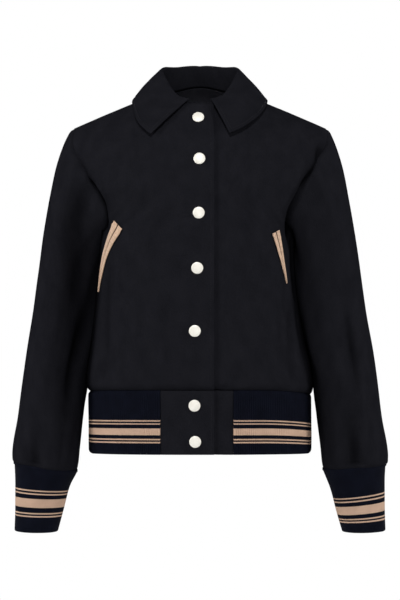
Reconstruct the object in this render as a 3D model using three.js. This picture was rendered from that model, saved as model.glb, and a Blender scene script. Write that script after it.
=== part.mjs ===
// Short wool jacket: turned-down collar, ribbed hem band and cuffs, slanted welt pockets, seven snaps.
// It keeps the shape it has when worn, with nothing inside it: every wall is cloth of its real thickness.
// Millimetres. +Z is up, the front faces -Y and the wearer's right is at -X. The origin is the middle
// of the back neck seam, where the wearer's shoulders carry the jacket.
import * as THREE from "three";

// Driving dimensions
const CLOTH = 2; // wall of the brushed wool
const SEAM_GAP = 0.35; // space left between two pieces that are sewn together
const ARMPIT_Z = -222;
const HEM_Z = -462.5; // seam between the body and the ribbed band, at the side seams
const HEM_TILT = 0.052; // the hem rises this much for each millimetre towards the front
const HEM_DROP = 5; // and hangs this much lower at the wearer's left side
const CORNER = 2.35; // 2 makes the body an ellipse seen from above, more makes it squarer
const TOP_FRONT_EDGE = 20.6; // the wearer's right front laps this far past the centre, on top
const UNDER_FRONT_EDGE = -19; // the left front reaches this far the other way, underneath
const LAP_STEP = 2.7; // how far the under layers lie inside the top ones
const BAND = { height: 92.4, thickness: 2.6, topTabEnd: -57, underTabEnd: 48 };
const RIB = { pitch: 3.2, height: 0.8 };
const COLLAR_CLOTH = 2.4;
const NECK = { halfWidth: 63, front: 78, back: 56 };
const SNAP = { radius: 8.5, height: 2.6, rim: 0.6 };
const WELT = { slit: 1, thickness: 1.8, lift: 1.2 };

// The body from the hem (-1) through the armpit (0) to the shoulder seam (1): half widths on the
// wearer's right and left, and how far it reaches to the front and to the back.
const BODY = [
  { level: -1.0, right: 165.5, left: 166, front: 125, back: 119 },
  { level: -0.955, right: 170, left: 169, front: 129.5, back: 123.5 },
  { level: -0.85, right: 168, left: 166.5, front: 129.5, back: 122.5 },
  { level: -0.75, right: 164, left: 160.5, front: 129, back: 120 },
  { level: -0.55, right: 158, left: 151, front: 128, back: 116 },
  { level: -0.33, right: 153.5, left: 143.5, front: 128, back: 112 },
  { level: -0.15, right: 150, left: 141, front: 129, back: 111 },
  { level: 0.0, right: 148.5, left: 142, front: 128, back: 113 },
  { level: 0.07, right: 152, left: 147, front: 126.5, back: 114 },
  { level: 0.22, right: 177, left: 174, front: 123, back: 116 },
  { level: 0.31, right: 187.5, left: 186, front: 121, back: 117 },
  { level: 0.45, right: 197.5, left: 197.5, front: 117, back: 117 },
  { level: 0.6, right: 200, left: 200, front: 113, back: 116 },
  { level: 1.0, right: 202, left: 202, front: 108, back: 113 },
];
const SHOULDER = { top: 15, slope: 0.436, softness: 40, neckRise: 17, neckReach: 50 };
const OVER_SHOULDER = { frontRound: 3, backRound: 5, edgeRound: 1.7, rowEase: 1.8 };

// The armhole from the armpit (0) to the shoulder seam (1): how far round from the centre it lies,
// where 1 is the side seam, and its level on the body.
const ARMHOLE = [
  { share: 0, front: 1, back: 1, level: 0 },
  { share: 0.085, front: 0.93, back: 0.93, level: 0.01 },
  { share: 0.22, front: 0.8, back: 0.82, level: 0.043 },
  { share: 0.325, front: 0.73, back: 0.75, level: 0.11 },
  { share: 0.47, front: 0.712, back: 0.728, level: 0.223 },
  { share: 0.565, front: 0.709, back: 0.722, level: 0.314 },
  { share: 0.685, front: 0.717, back: 0.728, level: 0.446 },
  { share: 0.77, front: 0.75, back: 0.752, level: 0.536 },
  { share: 0.85, front: 0.78, back: 0.775, level: 0.64 },
  { share: 1, front: 0.765, back: 0.765, level: 1 },
];

// The sleeve below the armhole, then the cuff: outer and inner edge seen from the front, middle and
// half depth seen from the side, and how much a ring rises for each millimetre outwards. Own is the
// share of the shape in which the two sleeves differ. Where the inner edge would enter the body it
// lies against it.
const SLEEVE_END = {
  z: -576.5, outer: 273.5, inner: 186.5, middle: -20, depth: 43, rightTilt: 0.145, leftTilt: 0.085, own: 0,
};
const ARM_COLUMNS = ["z", "outer", "inner", "middle", "depth", "rightTilt", "leftTilt", "own"];
const armTable = (rows) =>
  rows.map((row) => Object.fromEntries(ARM_COLUMNS.map((column, i) => [column, row[i]])));
const SLEEVE = [
  ...armTable([
    [-285, 239.5, 137.5, 4, 71, 0, 0, 1],
    [-326, 245, 142, 2, 70, 0, 0, 1],
    [-386, 254, 154.5, -4, 67, 0.02, 0.02, 0.9],
    [-446, 263, 169.5, -10, 63, 0.05, 0.04, 0.6],
    [-506, 271.5, 175, -15, 59, 0.09, 0.06, 0.25],
    [-544, 278, 180, -18, 57, 0.125, 0.08, 0.05],
    [-560, 279.5, 181.5, -19, 56, 0.14, 0.085, 0],
    [-570.5, 279, 183.5, -20, 52, 0.145, 0.085, 0],
  ]),
  SLEEVE_END,
];
const CUFF = [
  SLEEVE_END,
  ...armTable([
    [-600, 272.5, 196.5, -20, 38, 0.07, 0.14, 0],
    [-636, 272.5, 205.5, -21, 34, 0.02, 0.1, 0],
    [-668.8, 273.5, 214.2, -22, 31, 0.015, 0.02, 0],
  ]),
];
// How far the front-most line of each sleeve is turned outwards, in degrees, and how square it is
const OWN_SHAPE = { right: { turned: 30, corner: 2.2 }, left: { turned: 4, corner: 3 } };
const CUFF_RIBS = 68;
const ARM_CLEARANCE = 2.0; // sleeve and body stay this far apart below the armpit

// Large folds of the body: troughs between two places, each given as turn and level. Reach is how far
// a fold spreads to each side of its line.
const FOLDS = [
  { from: [-0.715, 0.5], to: [-0.712, 0.24], depth: 3, reach: 20 },
  { from: [-0.712, 0.2], to: [-0.79, 0.05], depth: 9, reach: 23 },
  { from: [0.73, 0.52], to: [0.712, 0.25], depth: 8, reach: 30 },
  { from: [0.712, 0.25], to: [0.79, 0.05], depth: 13, reach: 32 },
  { from: [0.85, -0.08], to: [0.87, -0.32], depth: 6, reach: 22 },
  { from: [-0.7, -0.35], to: [-0.62, -0.85], depth: 4.5, reach: 24 },
  { from: [0.66, -0.55], to: [0.58, -0.86], depth: 4.5, reach: 24 },
  { from: [1.42, 0.4], to: [1.3, 0.12], depth: 5, reach: 24 },
  { from: [2.58, 0.4], to: [2.7, 0.12], depth: 5, reach: 24 },
  { from: [1.5, -0.1], to: [1.62, -0.8], depth: 4, reach: 26 },
  { from: [2.5, -0.15], to: [2.36, -0.82], depth: 4, reach: 26 },
];

// Folds and pleats down the sleeves: their angle from the outer side towards the front, the stretch
// they run over with the height of their deepest place, their depth and how wide they spread.
const SLEEVE_FOLDS = [
  { side: -1, angle: 73, top: -470, deepest: -566, end: -582, depth: 8, spread: 18 },
  { side: -1, angle: 250, top: -490, deepest: -566, end: -582, depth: 7, spread: 18 },
  { side: 1, angle: 95, top: -430, deepest: -566, end: -582, depth: 9, spread: 18 },
  { side: 1, angle: 262, top: -490, deepest: -566, end: -582, depth: 7, spread: 18 },
  { side: -1, angle: 104, top: -160, deepest: -310, end: -480, depth: 6, spread: 16 },
  { side: 1, angle: 80, top: -280, deepest: -400, end: -500, depth: 4, spread: 14 },
  { side: -1, angle: 285, top: -180, deepest: -350, end: -500, depth: 4, spread: 22 },
  { side: 1, angle: 280, top: -200, deepest: -330, end: -480, depth: 4, spread: 22 },
];

// Collar, from its front end to the centre back: height and lean of the stand, where the outer edge of
// the leaf lies, as a distance from the centre and a level that runs from 0 at the front armpit over
// 1 on the shoulder to 2 at the back, and how high above the body. In front the leaves don't hang alike.
const COLLAR_BACK = [
  { angle: 90, stand: 31, lean: -6, edgeX: 100, edgeLevel: 1.03, lift: 4.6 },
  { angle: 120, stand: 37, lean: -5, edgeX: 84, edgeLevel: 1.2, lift: 4.6 },
  { angle: 150, stand: 33.4, lean: -4, edgeX: 46, edgeLevel: 1.3, lift: 4.6 },
  { angle: 180, stand: 29.2, lean: -3, edgeX: 0, edgeLevel: 1.335, lift: 4.6 },
];
const COLLAR = {
  right: [
    { angle: 14.5, stand: 2.6, lean: 0, edgeX: 69.5, edgeLevel: 0.443, lift: 9 },
    { angle: 30, stand: 4.5, lean: -2, edgeX: 79, edgeLevel: 0.494, lift: 8.5 },
    { angle: 45, stand: 13, lean: -3, edgeX: 89, edgeLevel: 0.572, lift: 7.5 },
    { angle: 60, stand: 23, lean: -4, edgeX: 96, edgeLevel: 0.71, lift: 6 },
    { angle: 75, stand: 29, lean: -5, edgeX: 99.5, edgeLevel: 0.87, lift: 5 },
    ...COLLAR_BACK,
  ],
  left: [
    { angle: 14.5, stand: 2.6, lean: 0, edgeX: 41, edgeLevel: 0.406, lift: 9 },
    { angle: 30, stand: 4.5, lean: -2, edgeX: 57, edgeLevel: 0.46, lift: 8.5 },
    { angle: 45, stand: 13, lean: -3, edgeX: 73, edgeLevel: 0.54, lift: 7.5 },
    { angle: 60, stand: 23, lean: -4, edgeX: 89, edgeLevel: 0.665, lift: 6 },
    { angle: 75, stand: 29, lean: -5, edgeX: 98, edgeLevel: 0.835, lift: 5 },
    ...COLLAR_BACK,
  ],
};
const LEAF = { bulge: 1.4, foldRadius: 3.4, foldEnds: 125 }; // the fold turns over by so many degrees

// Pocket slits: upper end, middle and lower end, each given as turn, without its side, and level. Then
// the width of a lip at both ends and how late it narrows, because the pockets turn away at the side.
const POCKETS = [
  {
    name: "right",
    side: -1,
    places: [[0.552, 0.017], [0.745, -0.176], [0.815, -0.385]],
    lip: { upper: 10.4, lower: 2.4, narrowing: 2.2 },
  },
  {
    name: "left",
    side: 1,
    places: [[0.5265, -0.0207], [0.602, -0.175], [0.655, -0.3325]],
    lip: { upper: 7.3, lower: 0.9, narrowing: 1.4 },
  },
];

// Snap caps from the collar down: their place on the front.
const SNAPS = [
  { x: -2.5, z: -60, on: "front_right" },
  { x: -1, z: -122, on: "front_right" },
  { x: -1.9, z: -200.5, on: "front_right" },
  { x: -4, z: -280, on: "front_right" },
  { x: -7.5, z: -370.5, on: "front_right" },
  { x: -8, z: -478, on: "hem_tab_right" },
  { x: -7, z: -530, on: "hem_tab_right" },
];

const TOP_PULL = 3; // how late the rows of a pattern piece turn to follow its top edge

// How finely each wall is cut into faces
const STEPS = { lower: 6, armhole: 11, neck: 5, shoulder: 5, welt: 16, snapSides: 16, bandInner: 8 };
const MEASURING_STEPS = 1200; // parts in which the length of the band is measured
const SMALL_TURN = 0.004; // a small step over the body, to find the way it faces
const FROM_OUTSIDE = 40; // lines that look for the surface of a front start this far outside it

const WOOL = new THREE.MeshStandardMaterial({ color: 0x17171b, roughness: 0.95 });
const RIB_KNIT = new THREE.MeshStandardMaterial({ color: 0x10131f, roughness: 0.9 });
const WELT_CLOTH = new THREE.MeshStandardMaterial({ color: 0xc3a386, roughness: 0.85 });
const SNAP_CAP = new THREE.MeshStandardMaterial({ color: 0xf0ece0, roughness: 0.35 });

const jacket = new THREE.Group();
const pieces = {};
const walls = {}; // the grids of points that each wall was made from

const point = (x, y, z) => new THREE.Vector3(x, y, z);
const along = (from, to, steps) =>
  Array.from({ length: steps + 1 }, (_, i) => from + ((to - from) * i) / steps);

/** Reads one column of a table at any place of another, on a smooth curve that never overshoots. */
function read(table, by, column, at) {
  const last = table.length - 1;
  const rising = table[last][by] > table[0][by];
  let i = 0;
  while (i < last - 1 && (rising ? at > table[i + 1][by] : at < table[i + 1][by])) i++;
  const secant = (k) => (table[k + 1][column] - table[k][column]) / (table[k + 1][by] - table[k][by]);
  const slope = (k) => {
    if (k === 0) return secant(0);
    if (k === last) return secant(last - 1);
    const before = secant(k - 1);
    const after = secant(k);
    return before * after > 0 ? (2 * before * after) / (before + after) : 0;
  };
  const width = table[i + 1][by] - table[i][by];
  const t = THREE.MathUtils.clamp((at - table[i][by]) / width, 0, 1);
  return (
    table[i][column] * (1 + 2 * t) * (1 - t) ** 2 +
    slope(i) * width * t * (1 - t) ** 2 +
    table[i + 1][column] * t * t * (3 - 2 * t) +
    slope(i + 1) * width * t * t * (t - 1)
  );
}

/** Height of the shoulder line at a distance from the centre. */
function shoulderHeight(x) {
  const line = SHOULDER.top - SHOULDER.slope * Math.hypot(x, SHOULDER.softness);
  return line + SHOULDER.neckRise * Math.exp(-((x / SHOULDER.neckReach) ** 2));
}

/** Share of the way up from the armpit to the shoulder line at a level. */
const rise = (level) => (level <= 0 ? 0 : 1 - Math.max(0, 1 - level) ** OVER_SHOULDER.rowEase);

/** How much lower the hem hangs at a share of the way round from the centre (0) to the left side (1). */
const hemDrop = (across) => HEM_DROP * THREE.MathUtils.smoothstep(across, 0.3, 1);

/** Share of the way from the centre to the side seam at a turn: below 0 on the wearer's right. */
function acrossAt(turn) {
  const place = THREE.MathUtils.euclideanModulo(turn + 1, 4) - 1;
  return Math.abs(place) <= 1 ? place : 2 - place;
}

/**
 * A point on the body. Turn 0 is the centre front, 1 the wearer's left side seam, 2 the centre back
 * and 3, or -1, the right side seam. Level is as in the table of the body.
 */
function body(turn, level) {
  const isFront = Math.abs(THREE.MathUtils.euclideanModulo(turn + 1, 4) - 1) <= 1;
  const across = acrossAt(turn);
  const angle = (Math.abs(across) * Math.PI) / 2;
  const half = read(BODY, "level", across < 0 ? "right" : "left", level);
  const x = Math.sign(across) * half * Math.sin(angle) ** (2 / CORNER);
  const reach = read(BODY, "level", isFront ? "front" : "back", level);
  const round = isFront ? OVER_SHOULDER.frontRound : OVER_SHOULDER.backRound;
  const fall = Math.max(0, 1 - rise(level) ** round) ** (1 / OVER_SHOULDER.edgeRound);
  const y = (isFront ? -1 : 1) * reach * Math.max(0, Math.cos(angle)) ** (2 / CORNER) * fall;
  const down = Math.min(level, 0);
  const z =
    ARMPIT_Z +
    down * (ARMPIT_Z - HEM_Z) -
    (HEM_TILT * y + hemDrop(across)) * down * down +
    rise(level) * (shoulderHeight(x) - ARMPIT_Z);
  return point(x, y, z);
}

/** The turn at which the front, or the back, is a distance from the centre at a level. */
function turnAt(x, level, isBack = false) {
  const half = read(BODY, "level", x < 0 ? "right" : "left", level);
  const share = Math.min(1, Math.abs(x) / half) ** (CORNER / 2);
  const across = (Math.sign(x) * Math.asin(share) * 2) / Math.PI;
  return isBack ? 2 - across : across;
}

/** A place on the neckline: an oval seen from above, laid on the body. Angle 0 is the centre front. */
function neckline(angle, side, isBack = angle > 90) {
  const turned = (angle * Math.PI) / 180;
  const x = side * NECK.halfWidth * Math.sin(turned);
  const reach = Math.abs(Math.cos(turned)) * (isBack ? NECK.back : NECK.front);
  if (angle === 90) return { turn: turnAt(x, 1, isBack), level: 1 };
  let low = 0.2;
  let high = 1;
  for (let i = 0; i < 40; i++) {
    const middle = (low + high) / 2;
    if (Math.abs(body(turnAt(x, middle, isBack), middle).y) > reach) low = middle;
    else high = middle;
  }
  return { turn: turnAt(x, low, isBack), level: low };
}

/**
 * Fills a four-sided pattern piece from its edges, which are lists of places that share corners. Only
 * the rows near the top follow its curve, so that none is pulled past the armpit.
 */
function fill(bottom, top, start, end) {
  const rows = start.length - 1;
  const columns = bottom.length - 1;
  const blend = (key, r, c) => {
    const v = (r / rows) ** TOP_PULL;
    const u = c / columns;
    const between = (1 - v) * bottom[c][key] + v * top[c][key] + (1 - u) * start[r][key] + u * end[r][key];
    const corners =
      (1 - u) * (1 - v) * bottom[0][key] +
      u * (1 - v) * bottom[columns][key] +
      (1 - u) * v * top[0][key] +
      u * v * top[columns][key];
    return between - corners;
  };
  const placeAt = (r, c) => ({ turn: blend("turn", r, c), level: blend("level", r, c) });
  return start.map((_, r) => bottom.map((_, c) => placeAt(r, c)));
}

/** Unit normals of a grid of points: columns cross rows, so they point out of the garment. */
function normals(grid, isRing) {
  const rows = grid.length;
  const columns = grid[0].length;
  const wrap = (c) => (isRing ? (c + columns) % columns : THREE.MathUtils.clamp(c, 0, columns - 1));
  return grid.map((row, r) =>
    row.map((_, c) => {
      const across = row[wrap(c + 1)].clone().sub(row[wrap(c - 1)]);
      const up = grid[Math.min(r + 1, rows - 1)][c].clone().sub(grid[Math.max(r - 1, 0)][c]);
      return across.cross(up).normalize();
    }),
  );
}

/** Moves each point of a grid along its normal by what amount(row, column) says. */
function moved(grid, amount, isRing = false) {
  const out = normals(grid, isRing);
  return grid.map((row, r) => row.map((p, c) => p.clone().addScaledVector(out[r][c], amount(r, c))));
}

/**
 * Makes a named piece from an outer and an inner grid of points. The outer grid may have several
 * times as many columns, which a ribbed wall needs; both have the same rows. A ring has no ends.
 */
function wall(name, outer, inner, material, isRing = false) {
  const rows = outer.length;
  const outerColumns = outer[0].length;
  const innerColumns = inner[0].length;
  const segments = isRing ? innerColumns : innerColumns - 1;
  const finer = (isRing ? outerColumns : outerColumns - 1) / segments;
  const positions = [...outer.flat(), ...inner.flat()].flatMap((p) => [p.x, p.y, p.z]);
  const out = (r, c) => r * outerColumns + (c % outerColumns);
  const inn = (r, c) => rows * outerColumns + r * innerColumns + (c % innerColumns);
  const faces = [];
  const last = rows - 1;
  for (let r = 0; r < last; r++) {
    for (let c = 0; c < segments * finer; c++) {
      faces.push(out(r, c), out(r, c + 1), out(r + 1, c + 1));
      faces.push(out(r, c), out(r + 1, c + 1), out(r + 1, c));
    }
    for (let c = 0; c < segments; c++) {
      faces.push(inn(r, c), inn(r + 1, c + 1), inn(r, c + 1));
      faces.push(inn(r, c), inn(r + 1, c), inn(r + 1, c + 1));
    }
  }
  for (let c = 0; c < segments; c++) {
    for (let k = c * finer; k < (c + 1) * finer; k++) {
      faces.push(out(0, k), inn(0, c), out(0, k + 1));
      faces.push(out(last, k), out(last, k + 1), inn(last, c));
    }
    faces.push(out(0, (c + 1) * finer), inn(0, c), inn(0, c + 1));
    faces.push(out(last, (c + 1) * finer), inn(last, c + 1), inn(last, c));
  }
  for (let r = 0; r < last && !isRing; r++) {
    const [o, i] = [outerColumns - 1, innerColumns - 1];
    faces.push(out(r, 0), out(r + 1, 0), inn(r + 1, 0), out(r, 0), inn(r + 1, 0), inn(r, 0));
    faces.push(out(r, o), inn(r + 1, i), out(r + 1, o), out(r, o), inn(r, i), inn(r + 1, i));
  }
  walls[name] = { outer, inner };
  const geometry = new THREE.BufferGeometry();
  geometry.setAttribute("position", new THREE.Float32BufferAttribute(positions, 3));
  geometry.setIndex(faces);
  geometry.computeVertexNormals();
  return add(name, geometry, material);
}

/** Adds a named piece to the jacket. */
function add(name, geometry, material) {
  const mesh = new THREE.Mesh(geometry, material);
  mesh.name = name;
  pieces[name] = mesh;
  jacket.add(mesh);
  return mesh;
}

/** A plain wall of one thickness behind a grid of points. */
function cloth(name, grid, thickness, material, isRing = false) {
  return wall(name, grid, moved(grid, () => -thickness, isRing), material, isRing);
}

/** The direction that faces out of the body at a place: the same for both pieces that meet at a seam. */
function outward(turn, level) {
  const at = (dt, dl) => body(turn + dt, THREE.MathUtils.clamp(level + dl, -1, 1));
  const across = at(SMALL_TURN, 0).sub(at(-SMALL_TURN, 0));
  const up = at(0, SMALL_TURN).sub(at(0, -SMALL_TURN));
  const out = across.cross(up);
  const isSideOrShoulderSeam = Math.abs(body(turn, level).y) < 1;
  if (isSideOrShoulderSeam) out.setY(0);
  return out.normalize();
}

/** A point a distance outside the body. */
const lifted = (turn, level, distance) => body(turn, level).addScaledVector(outward(turn, level), distance);

/** A wall of the body, from its outer points and their places. */
function bodyCloth(name, grid, places) {
  const into = (p, { turn, level }) => p.clone().addScaledVector(outward(turn, level), -CLOTH);
  const inner = grid.map((row, r) => row.map((p, c) => into(p, places[r][c])));
  return wall(name, grid, inner, WOOL);
}

/** How deep the folds of the body are at a place. */
function foldDepth({ turn, level }) {
  const scale = { turn: 232, level: 165 }; // millimetres for one step of each, about
  let depth = 0;
  for (const fold of FOLDS) {
    const [ax, ay] = [fold.from[0] * scale.turn, fold.from[1] * scale.level];
    const [bx, by] = [fold.to[0] * scale.turn, fold.to[1] * scale.level];
    const [px, py] = [turn * scale.turn - ax, level * scale.level - ay];
    const length = Math.hypot(bx - ax, by - ay);
    const t = THREE.MathUtils.clamp((px * (bx - ax) + py * (by - ay)) / length ** 2, 0, 1);
    const away = Math.hypot(px - t * (bx - ax), py - t * (by - ay)) / fold.reach;
    depth = Math.max(depth, fold.depth * Math.exp(-2 * away * away));
  }
  return depth;
}

const armholeLevel = (share) => read(ARMHOLE, "share", "level", share);
const armholeOut = (share, isBack) => read(ARMHOLE, "share", isBack ? "back" : "front", share);
const lowerLevels = [-1, ...along(-0.965, -0.93, 1), ...along(-0.93, 0, STEPS.lower).slice(1)];
const armholeShares = along(0, 1, STEPS.armhole).slice(1);

const armpitRow = lowerLevels.length - 1;

/** The outer edge of a front or half a back: up the side seam, then round the armhole. */
function sideEdge(isBack) {
  return [
    ...lowerLevels.map((level) => ({ out: 1, level })),
    ...armholeShares.map((share) => ({ out: armholeOut(share, isBack), level: armholeLevel(share) })),
  ];
}

/** The levels of the rows along a centre line, which rise half evenly and half as the armhole does. */
function centreLevels(top) {
  return [...lowerLevels, ...armholeShares.map((share) => (top * (share + armholeLevel(share))) / 2)];
}

/** Angles of the neckline's points from a front edge to the shoulder seam. */
const frontNeckAngles = (edgeAngle) => [
  ...along(edgeAngle, COLLAR.left[0].angle, 2).slice(0, 2),
  ...along(COLLAR.left[0].angle, 90, STEPS.neck),
];
const shoulderDistances = (side) => {
  const tip = Math.abs(body(armholeOut(1, false), 1).x);
  return along(NECK.halfWidth, tip, STEPS.shoulder).slice(1).map((x) => side * x);
};

/** One front: side is -1 for the wearer's right and 1 for the left. */
function front(name, side, edgeX, inset) {
  const edgeAngle = (Math.asin((side * edgeX) / NECK.halfWidth) * 180) / Math.PI;
  const top = [
    ...frontNeckAngles(edgeAngle).map((angle) => neckline(angle, side)),
    ...shoulderDistances(side).map((x) => ({ turn: turnAt(x, 1), level: 1 })),
  ];
  const start = centreLevels(top[0].level).map((level) => ({ turn: turnAt(edgeX, level), level }));
  const end = sideEdge(false).map(({ out, level }) => ({ turn: side * out, level }));
  const from = start[0].turn;
  const bottom = along(0, 1, top.length - 1).map((u) => ({ turn: from + (side - from) * u, level: -1 }));
  let places = fill(bottom, top, start, end);
  if (side < 0) places = places.map((row) => row.toReversed());
  const last = places.length - 1;
  const sideColumn = side < 0 ? 0 : places[0].length - 1;
  const grid = places.map((row, r) =>
    row.map((place, c) => {
      const isSeam = (c === sideColumn && r <= armpitRow) || r === last || r === 0;
      const lap = inset(body(place.turn, place.level).x);
      return lifted(place.turn, place.level, -lap - (isSeam ? 0 : foldDepth(place)));
    }),
  );
  return bodyCloth(name, grid, places);
}

/** The under layers lie inside the top ones where they lap, and come level beside the lap. */
function lapInset(x) {
  const beside = THREE.MathUtils.smoothstep(x, TOP_FRONT_EDGE + 2, BAND.underTabEnd - 6);
  return LAP_STEP * (1 - beside);
}

function back() {
  const half = (side) => {
    const neck = along(90, 180, STEPS.neck + 1).map((angle) => neckline(angle, side, true));
    const shoulder = shoulderDistances(side).toReversed();
    const top = [...shoulder.map((x) => ({ turn: turnAt(x, 1, true), level: 1 })), ...neck];
    const asTurn = ({ out, level }) => ({ turn: 2 - side * out, level });
    const start = sideEdge(true).map(asTurn);
    const end = centreLevels(top.at(-1).level).map((level) => ({ turn: 2, level }));
    const bottom = along(0, 1, top.length - 1).map((u) => ({ turn: 2 - side * (1 - u), level: -1 }));
    return fill(bottom, top, start, end);
  };
  const left = half(1);
  const right = half(-1).map((row) => row.toReversed().slice(1));
  const places = left.map((row, r) => [...row, ...right[r]]);
  const last = places.length - 1;
  const grid = places.map((row, r) =>
    row.map((place, c) => {
      const isSeam = r === 0 || r === last || c === 0 || c === row.length - 1;
      return lifted(place.turn, place.level, isSeam ? 0 : -foldDepth(place));
    }),
  );
  // A point of a shoulder or neck seam stands back by the seam gap, so the fronts keep clear of it.
  grid[0].forEach((_, c) => {
    const inward = grid[last - 1][c].clone().sub(grid[last][c]).normalize();
    grid[last][c].addScaledVector(inward, SEAM_GAP);
  });
  for (const row of grid.slice(0, last)) {
    for (const [edge, next] of [[0, 1], [row.length - 1, row.length - 2]]) {
      const inward = row[next].clone().sub(row[edge]).normalize();
      row[edge].addScaledVector(inward, SEAM_GAP);
    }
  }
  return bodyCloth("back", grid, places);
}

/** A point of a sleeve or cuff at a height: angle 0 is its outer side and 90 degrees its front. */
function armPoint(table, z, turned, side) {
  const key = side < 0 ? "right" : "left";
  const at = (column) => read(table, "z", column, z);
  const squared = 2 / (2 + (OWN_SHAPE[key].corner - 2) * at("own"));
  const curve = (value) => Math.sign(value) * Math.abs(value) ** squared;
  const half = (at("outer") - at("inner")) / 2;
  const front = turned + THREE.MathUtils.degToRad(OWN_SHAPE[key].turned) * at("own");
  return point(
    at("inner") + half + half * curve(Math.cos(turned)),
    at("middle") - at("depth") * curve(Math.sin(front)),
    z + at(key + "Tilt") * half * Math.cos(turned),
  );
}

/** Rows of points worked out for the wearer's left, mirrored when they are for the right. */
function onSide(rows, side) {
  if (side > 0) return rows;
  return rows.map((row) => row.toReversed().map((p) => point(-p.x, p.y, p.z)));
}

/** Moves a point of a sleeve outwards until it is clear of the body. */
function clearOfBody(p, side) {
  const below = ARMPIT_Z - p.z;
  if (below <= 0) return p;
  const level = Math.max(-1, -below / (ARMPIT_Z - HEM_Z));
  const gap = SEAM_GAP + (ARM_CLEARANCE - SEAM_GAP) * Math.min(1, below / 2);
  const half = read(BODY, "level", side < 0 ? "right" : "left", level) + gap;
  const reach = read(BODY, "level", p.y < 0 ? "front" : "back", level) + gap;
  const inside = (Math.abs(p.x) / half) ** CORNER + (Math.abs(p.y) / reach) ** CORNER;
  if (inside >= 1) return p;
  const across = Math.max(0, 1 - (Math.abs(p.y) / reach) ** CORNER) ** (1 / CORNER);
  return point(half * across, p.y, p.z);
}

/** Presses the folds of one sleeve into its grid. */
function sleeveFolded(grid, angles, side) {
  const folds = SLEEVE_FOLDS.filter((fold) => fold.side === side);
  return moved(
    grid,
    (r, c) => {
      const { z } = grid[r][c];
      let depth = 0;
      for (const { angle, top, deepest, end, depth: full, spread } of folds) {
        const off = (Math.abs(THREE.MathUtils.radToDeg(angles[c]) - angle) / spread) ** 2;
        const down = z > deepest ? (z - top) / (deepest - top) : (z - end) / (deepest - end);
        depth = Math.max(depth, full * Math.exp(-off) * THREE.MathUtils.smoothstep(down, 0, 1));
      }
      return r === grid.length - 1 ? 0 : -depth;
    },
    true,
  );
}

function sleeve(name, side) {
  const key = side < 0 ? "right" : "left";
  const edge = (wallName, isFirst) => {
    const { outer, inner } = walls[wallName];
    const column = isFirst ? 0 : outer[0].length - 1;
    const across = (p) => point(side * p.x, p.y, p.z);
    return outer.slice(armpitRow).map((row, i) => {
      const into = inner[armpitRow + i][column].clone().sub(row[column]);
      return { p: across(row[column]), into: across(into) };
    });
  };
  const sewn = [...edge("front_" + key, side < 0).toReversed(), ...edge("back", side > 0).slice(1, -1)];
  const loop = sewn.map(({ p }) => p);
  const columns = loop.length;
  const angles = loop.map((_, c) => (c / columns) * 2 * Math.PI);
  const centre = loop.reduce((sum, p) => sum.add(p), point(0, 0, 0)).divideScalar(columns);
  const slant = loop[0].clone().sub(loop[STEPS.armhole]).normalize();
  const outwards = point(slant.z, 0, -slant.x);
  const leaving = loop.map((p) =>
    outwards
      .clone()
      .addScaledVector(p.clone().sub(centre).normalize(), 0.25)
      .add(point(0, 0, -0.8))
      .normalize(),
  );
  const upperArm = angles.map((a) => armPoint(SLEEVE, SLEEVE[0].z, a, side));
  const next = angles.map((a) => armPoint(SLEEVE, SLEEVE[0].z - 10, a, side));
  const cap = [0, 0.07, 0.16, 0.27, 0.4, 0.55, 0.72, 0.88].map((t) =>
    loop.map((p, c) => {
      const start = p.clone().addScaledVector(leaving[c], SEAM_GAP);
      const distance = start.distanceTo(upperArm[c]);
      const arriving = next[c].clone().sub(upperArm[c]).normalize();
      return start
        .multiplyScalar((1 + 2 * t) * (1 - t) ** 2)
        .addScaledVector(leaving[c], 0.45 * distance * t * (1 - t) ** 2)
        .addScaledVector(upperArm[c], t * t * (3 - 2 * t))
        .addScaledVector(arriving, 0.95 * distance * t * t * (t - 1));
    }),
  );
  const heights = [...along(SLEEVE[0].z, -530, 7), -550, -563, -571.5, SLEEVE_END.z];
  const arm = heights.map((z) => angles.map((a) => armPoint(SLEEVE, z, a, side)));
  const grid = sleeveFolded([...cap, ...arm], angles, side).map((row, r) =>
    row.map((p) => (r === 0 ? p : clearOfBody(p, side))),
  );
  const inner = moved(grid, () => -CLOTH, true);
  inner[0].forEach((p, c) => {
    const crossing = sewn[c].into.clone().sub(p.clone().sub(grid[0][c])).dot(leaving[c]);
    p.addScaledVector(leaving[c], Math.max(0, crossing));
  });
  wall(name, onSide(grid, side), onSide(inner, side), WOOL, true);
}

function cuff(name, side) {
  const heights = CUFF.map(({ z }) => z);
  const ring = (z, count) => {
    const turns = along(0, 2 * Math.PI, count).slice(0, count);
    const row = turns.map((turned) => armPoint(CUFF, z, turned, side).add(point(0, 0, -SEAM_GAP)));
    return onSide([row], side)[0];
  };
  const plain = heights.map((z) => ring(z, CUFF_RIBS * 2));
  const ribbed = moved(plain, (r, c) => (c % 2 ? 0 : RIB.height), true);
  const inner = moved(heights.map((z) => ring(z, CUFF_RIBS / 2)), () => -BAND.thickness, true);
  wall(name, ribbed, inner, RIB_KNIT, true);
}

/** A point of the hem band: down is 0 at the seam with the body and 1 at the bottom edge. */
function bandPoint(turn, down) {
  const p = body(turn, -1);
  return p.setZ(p.z - SEAM_GAP - down * (BAND.height - hemDrop(acrossAt(turn))));
}

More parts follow.
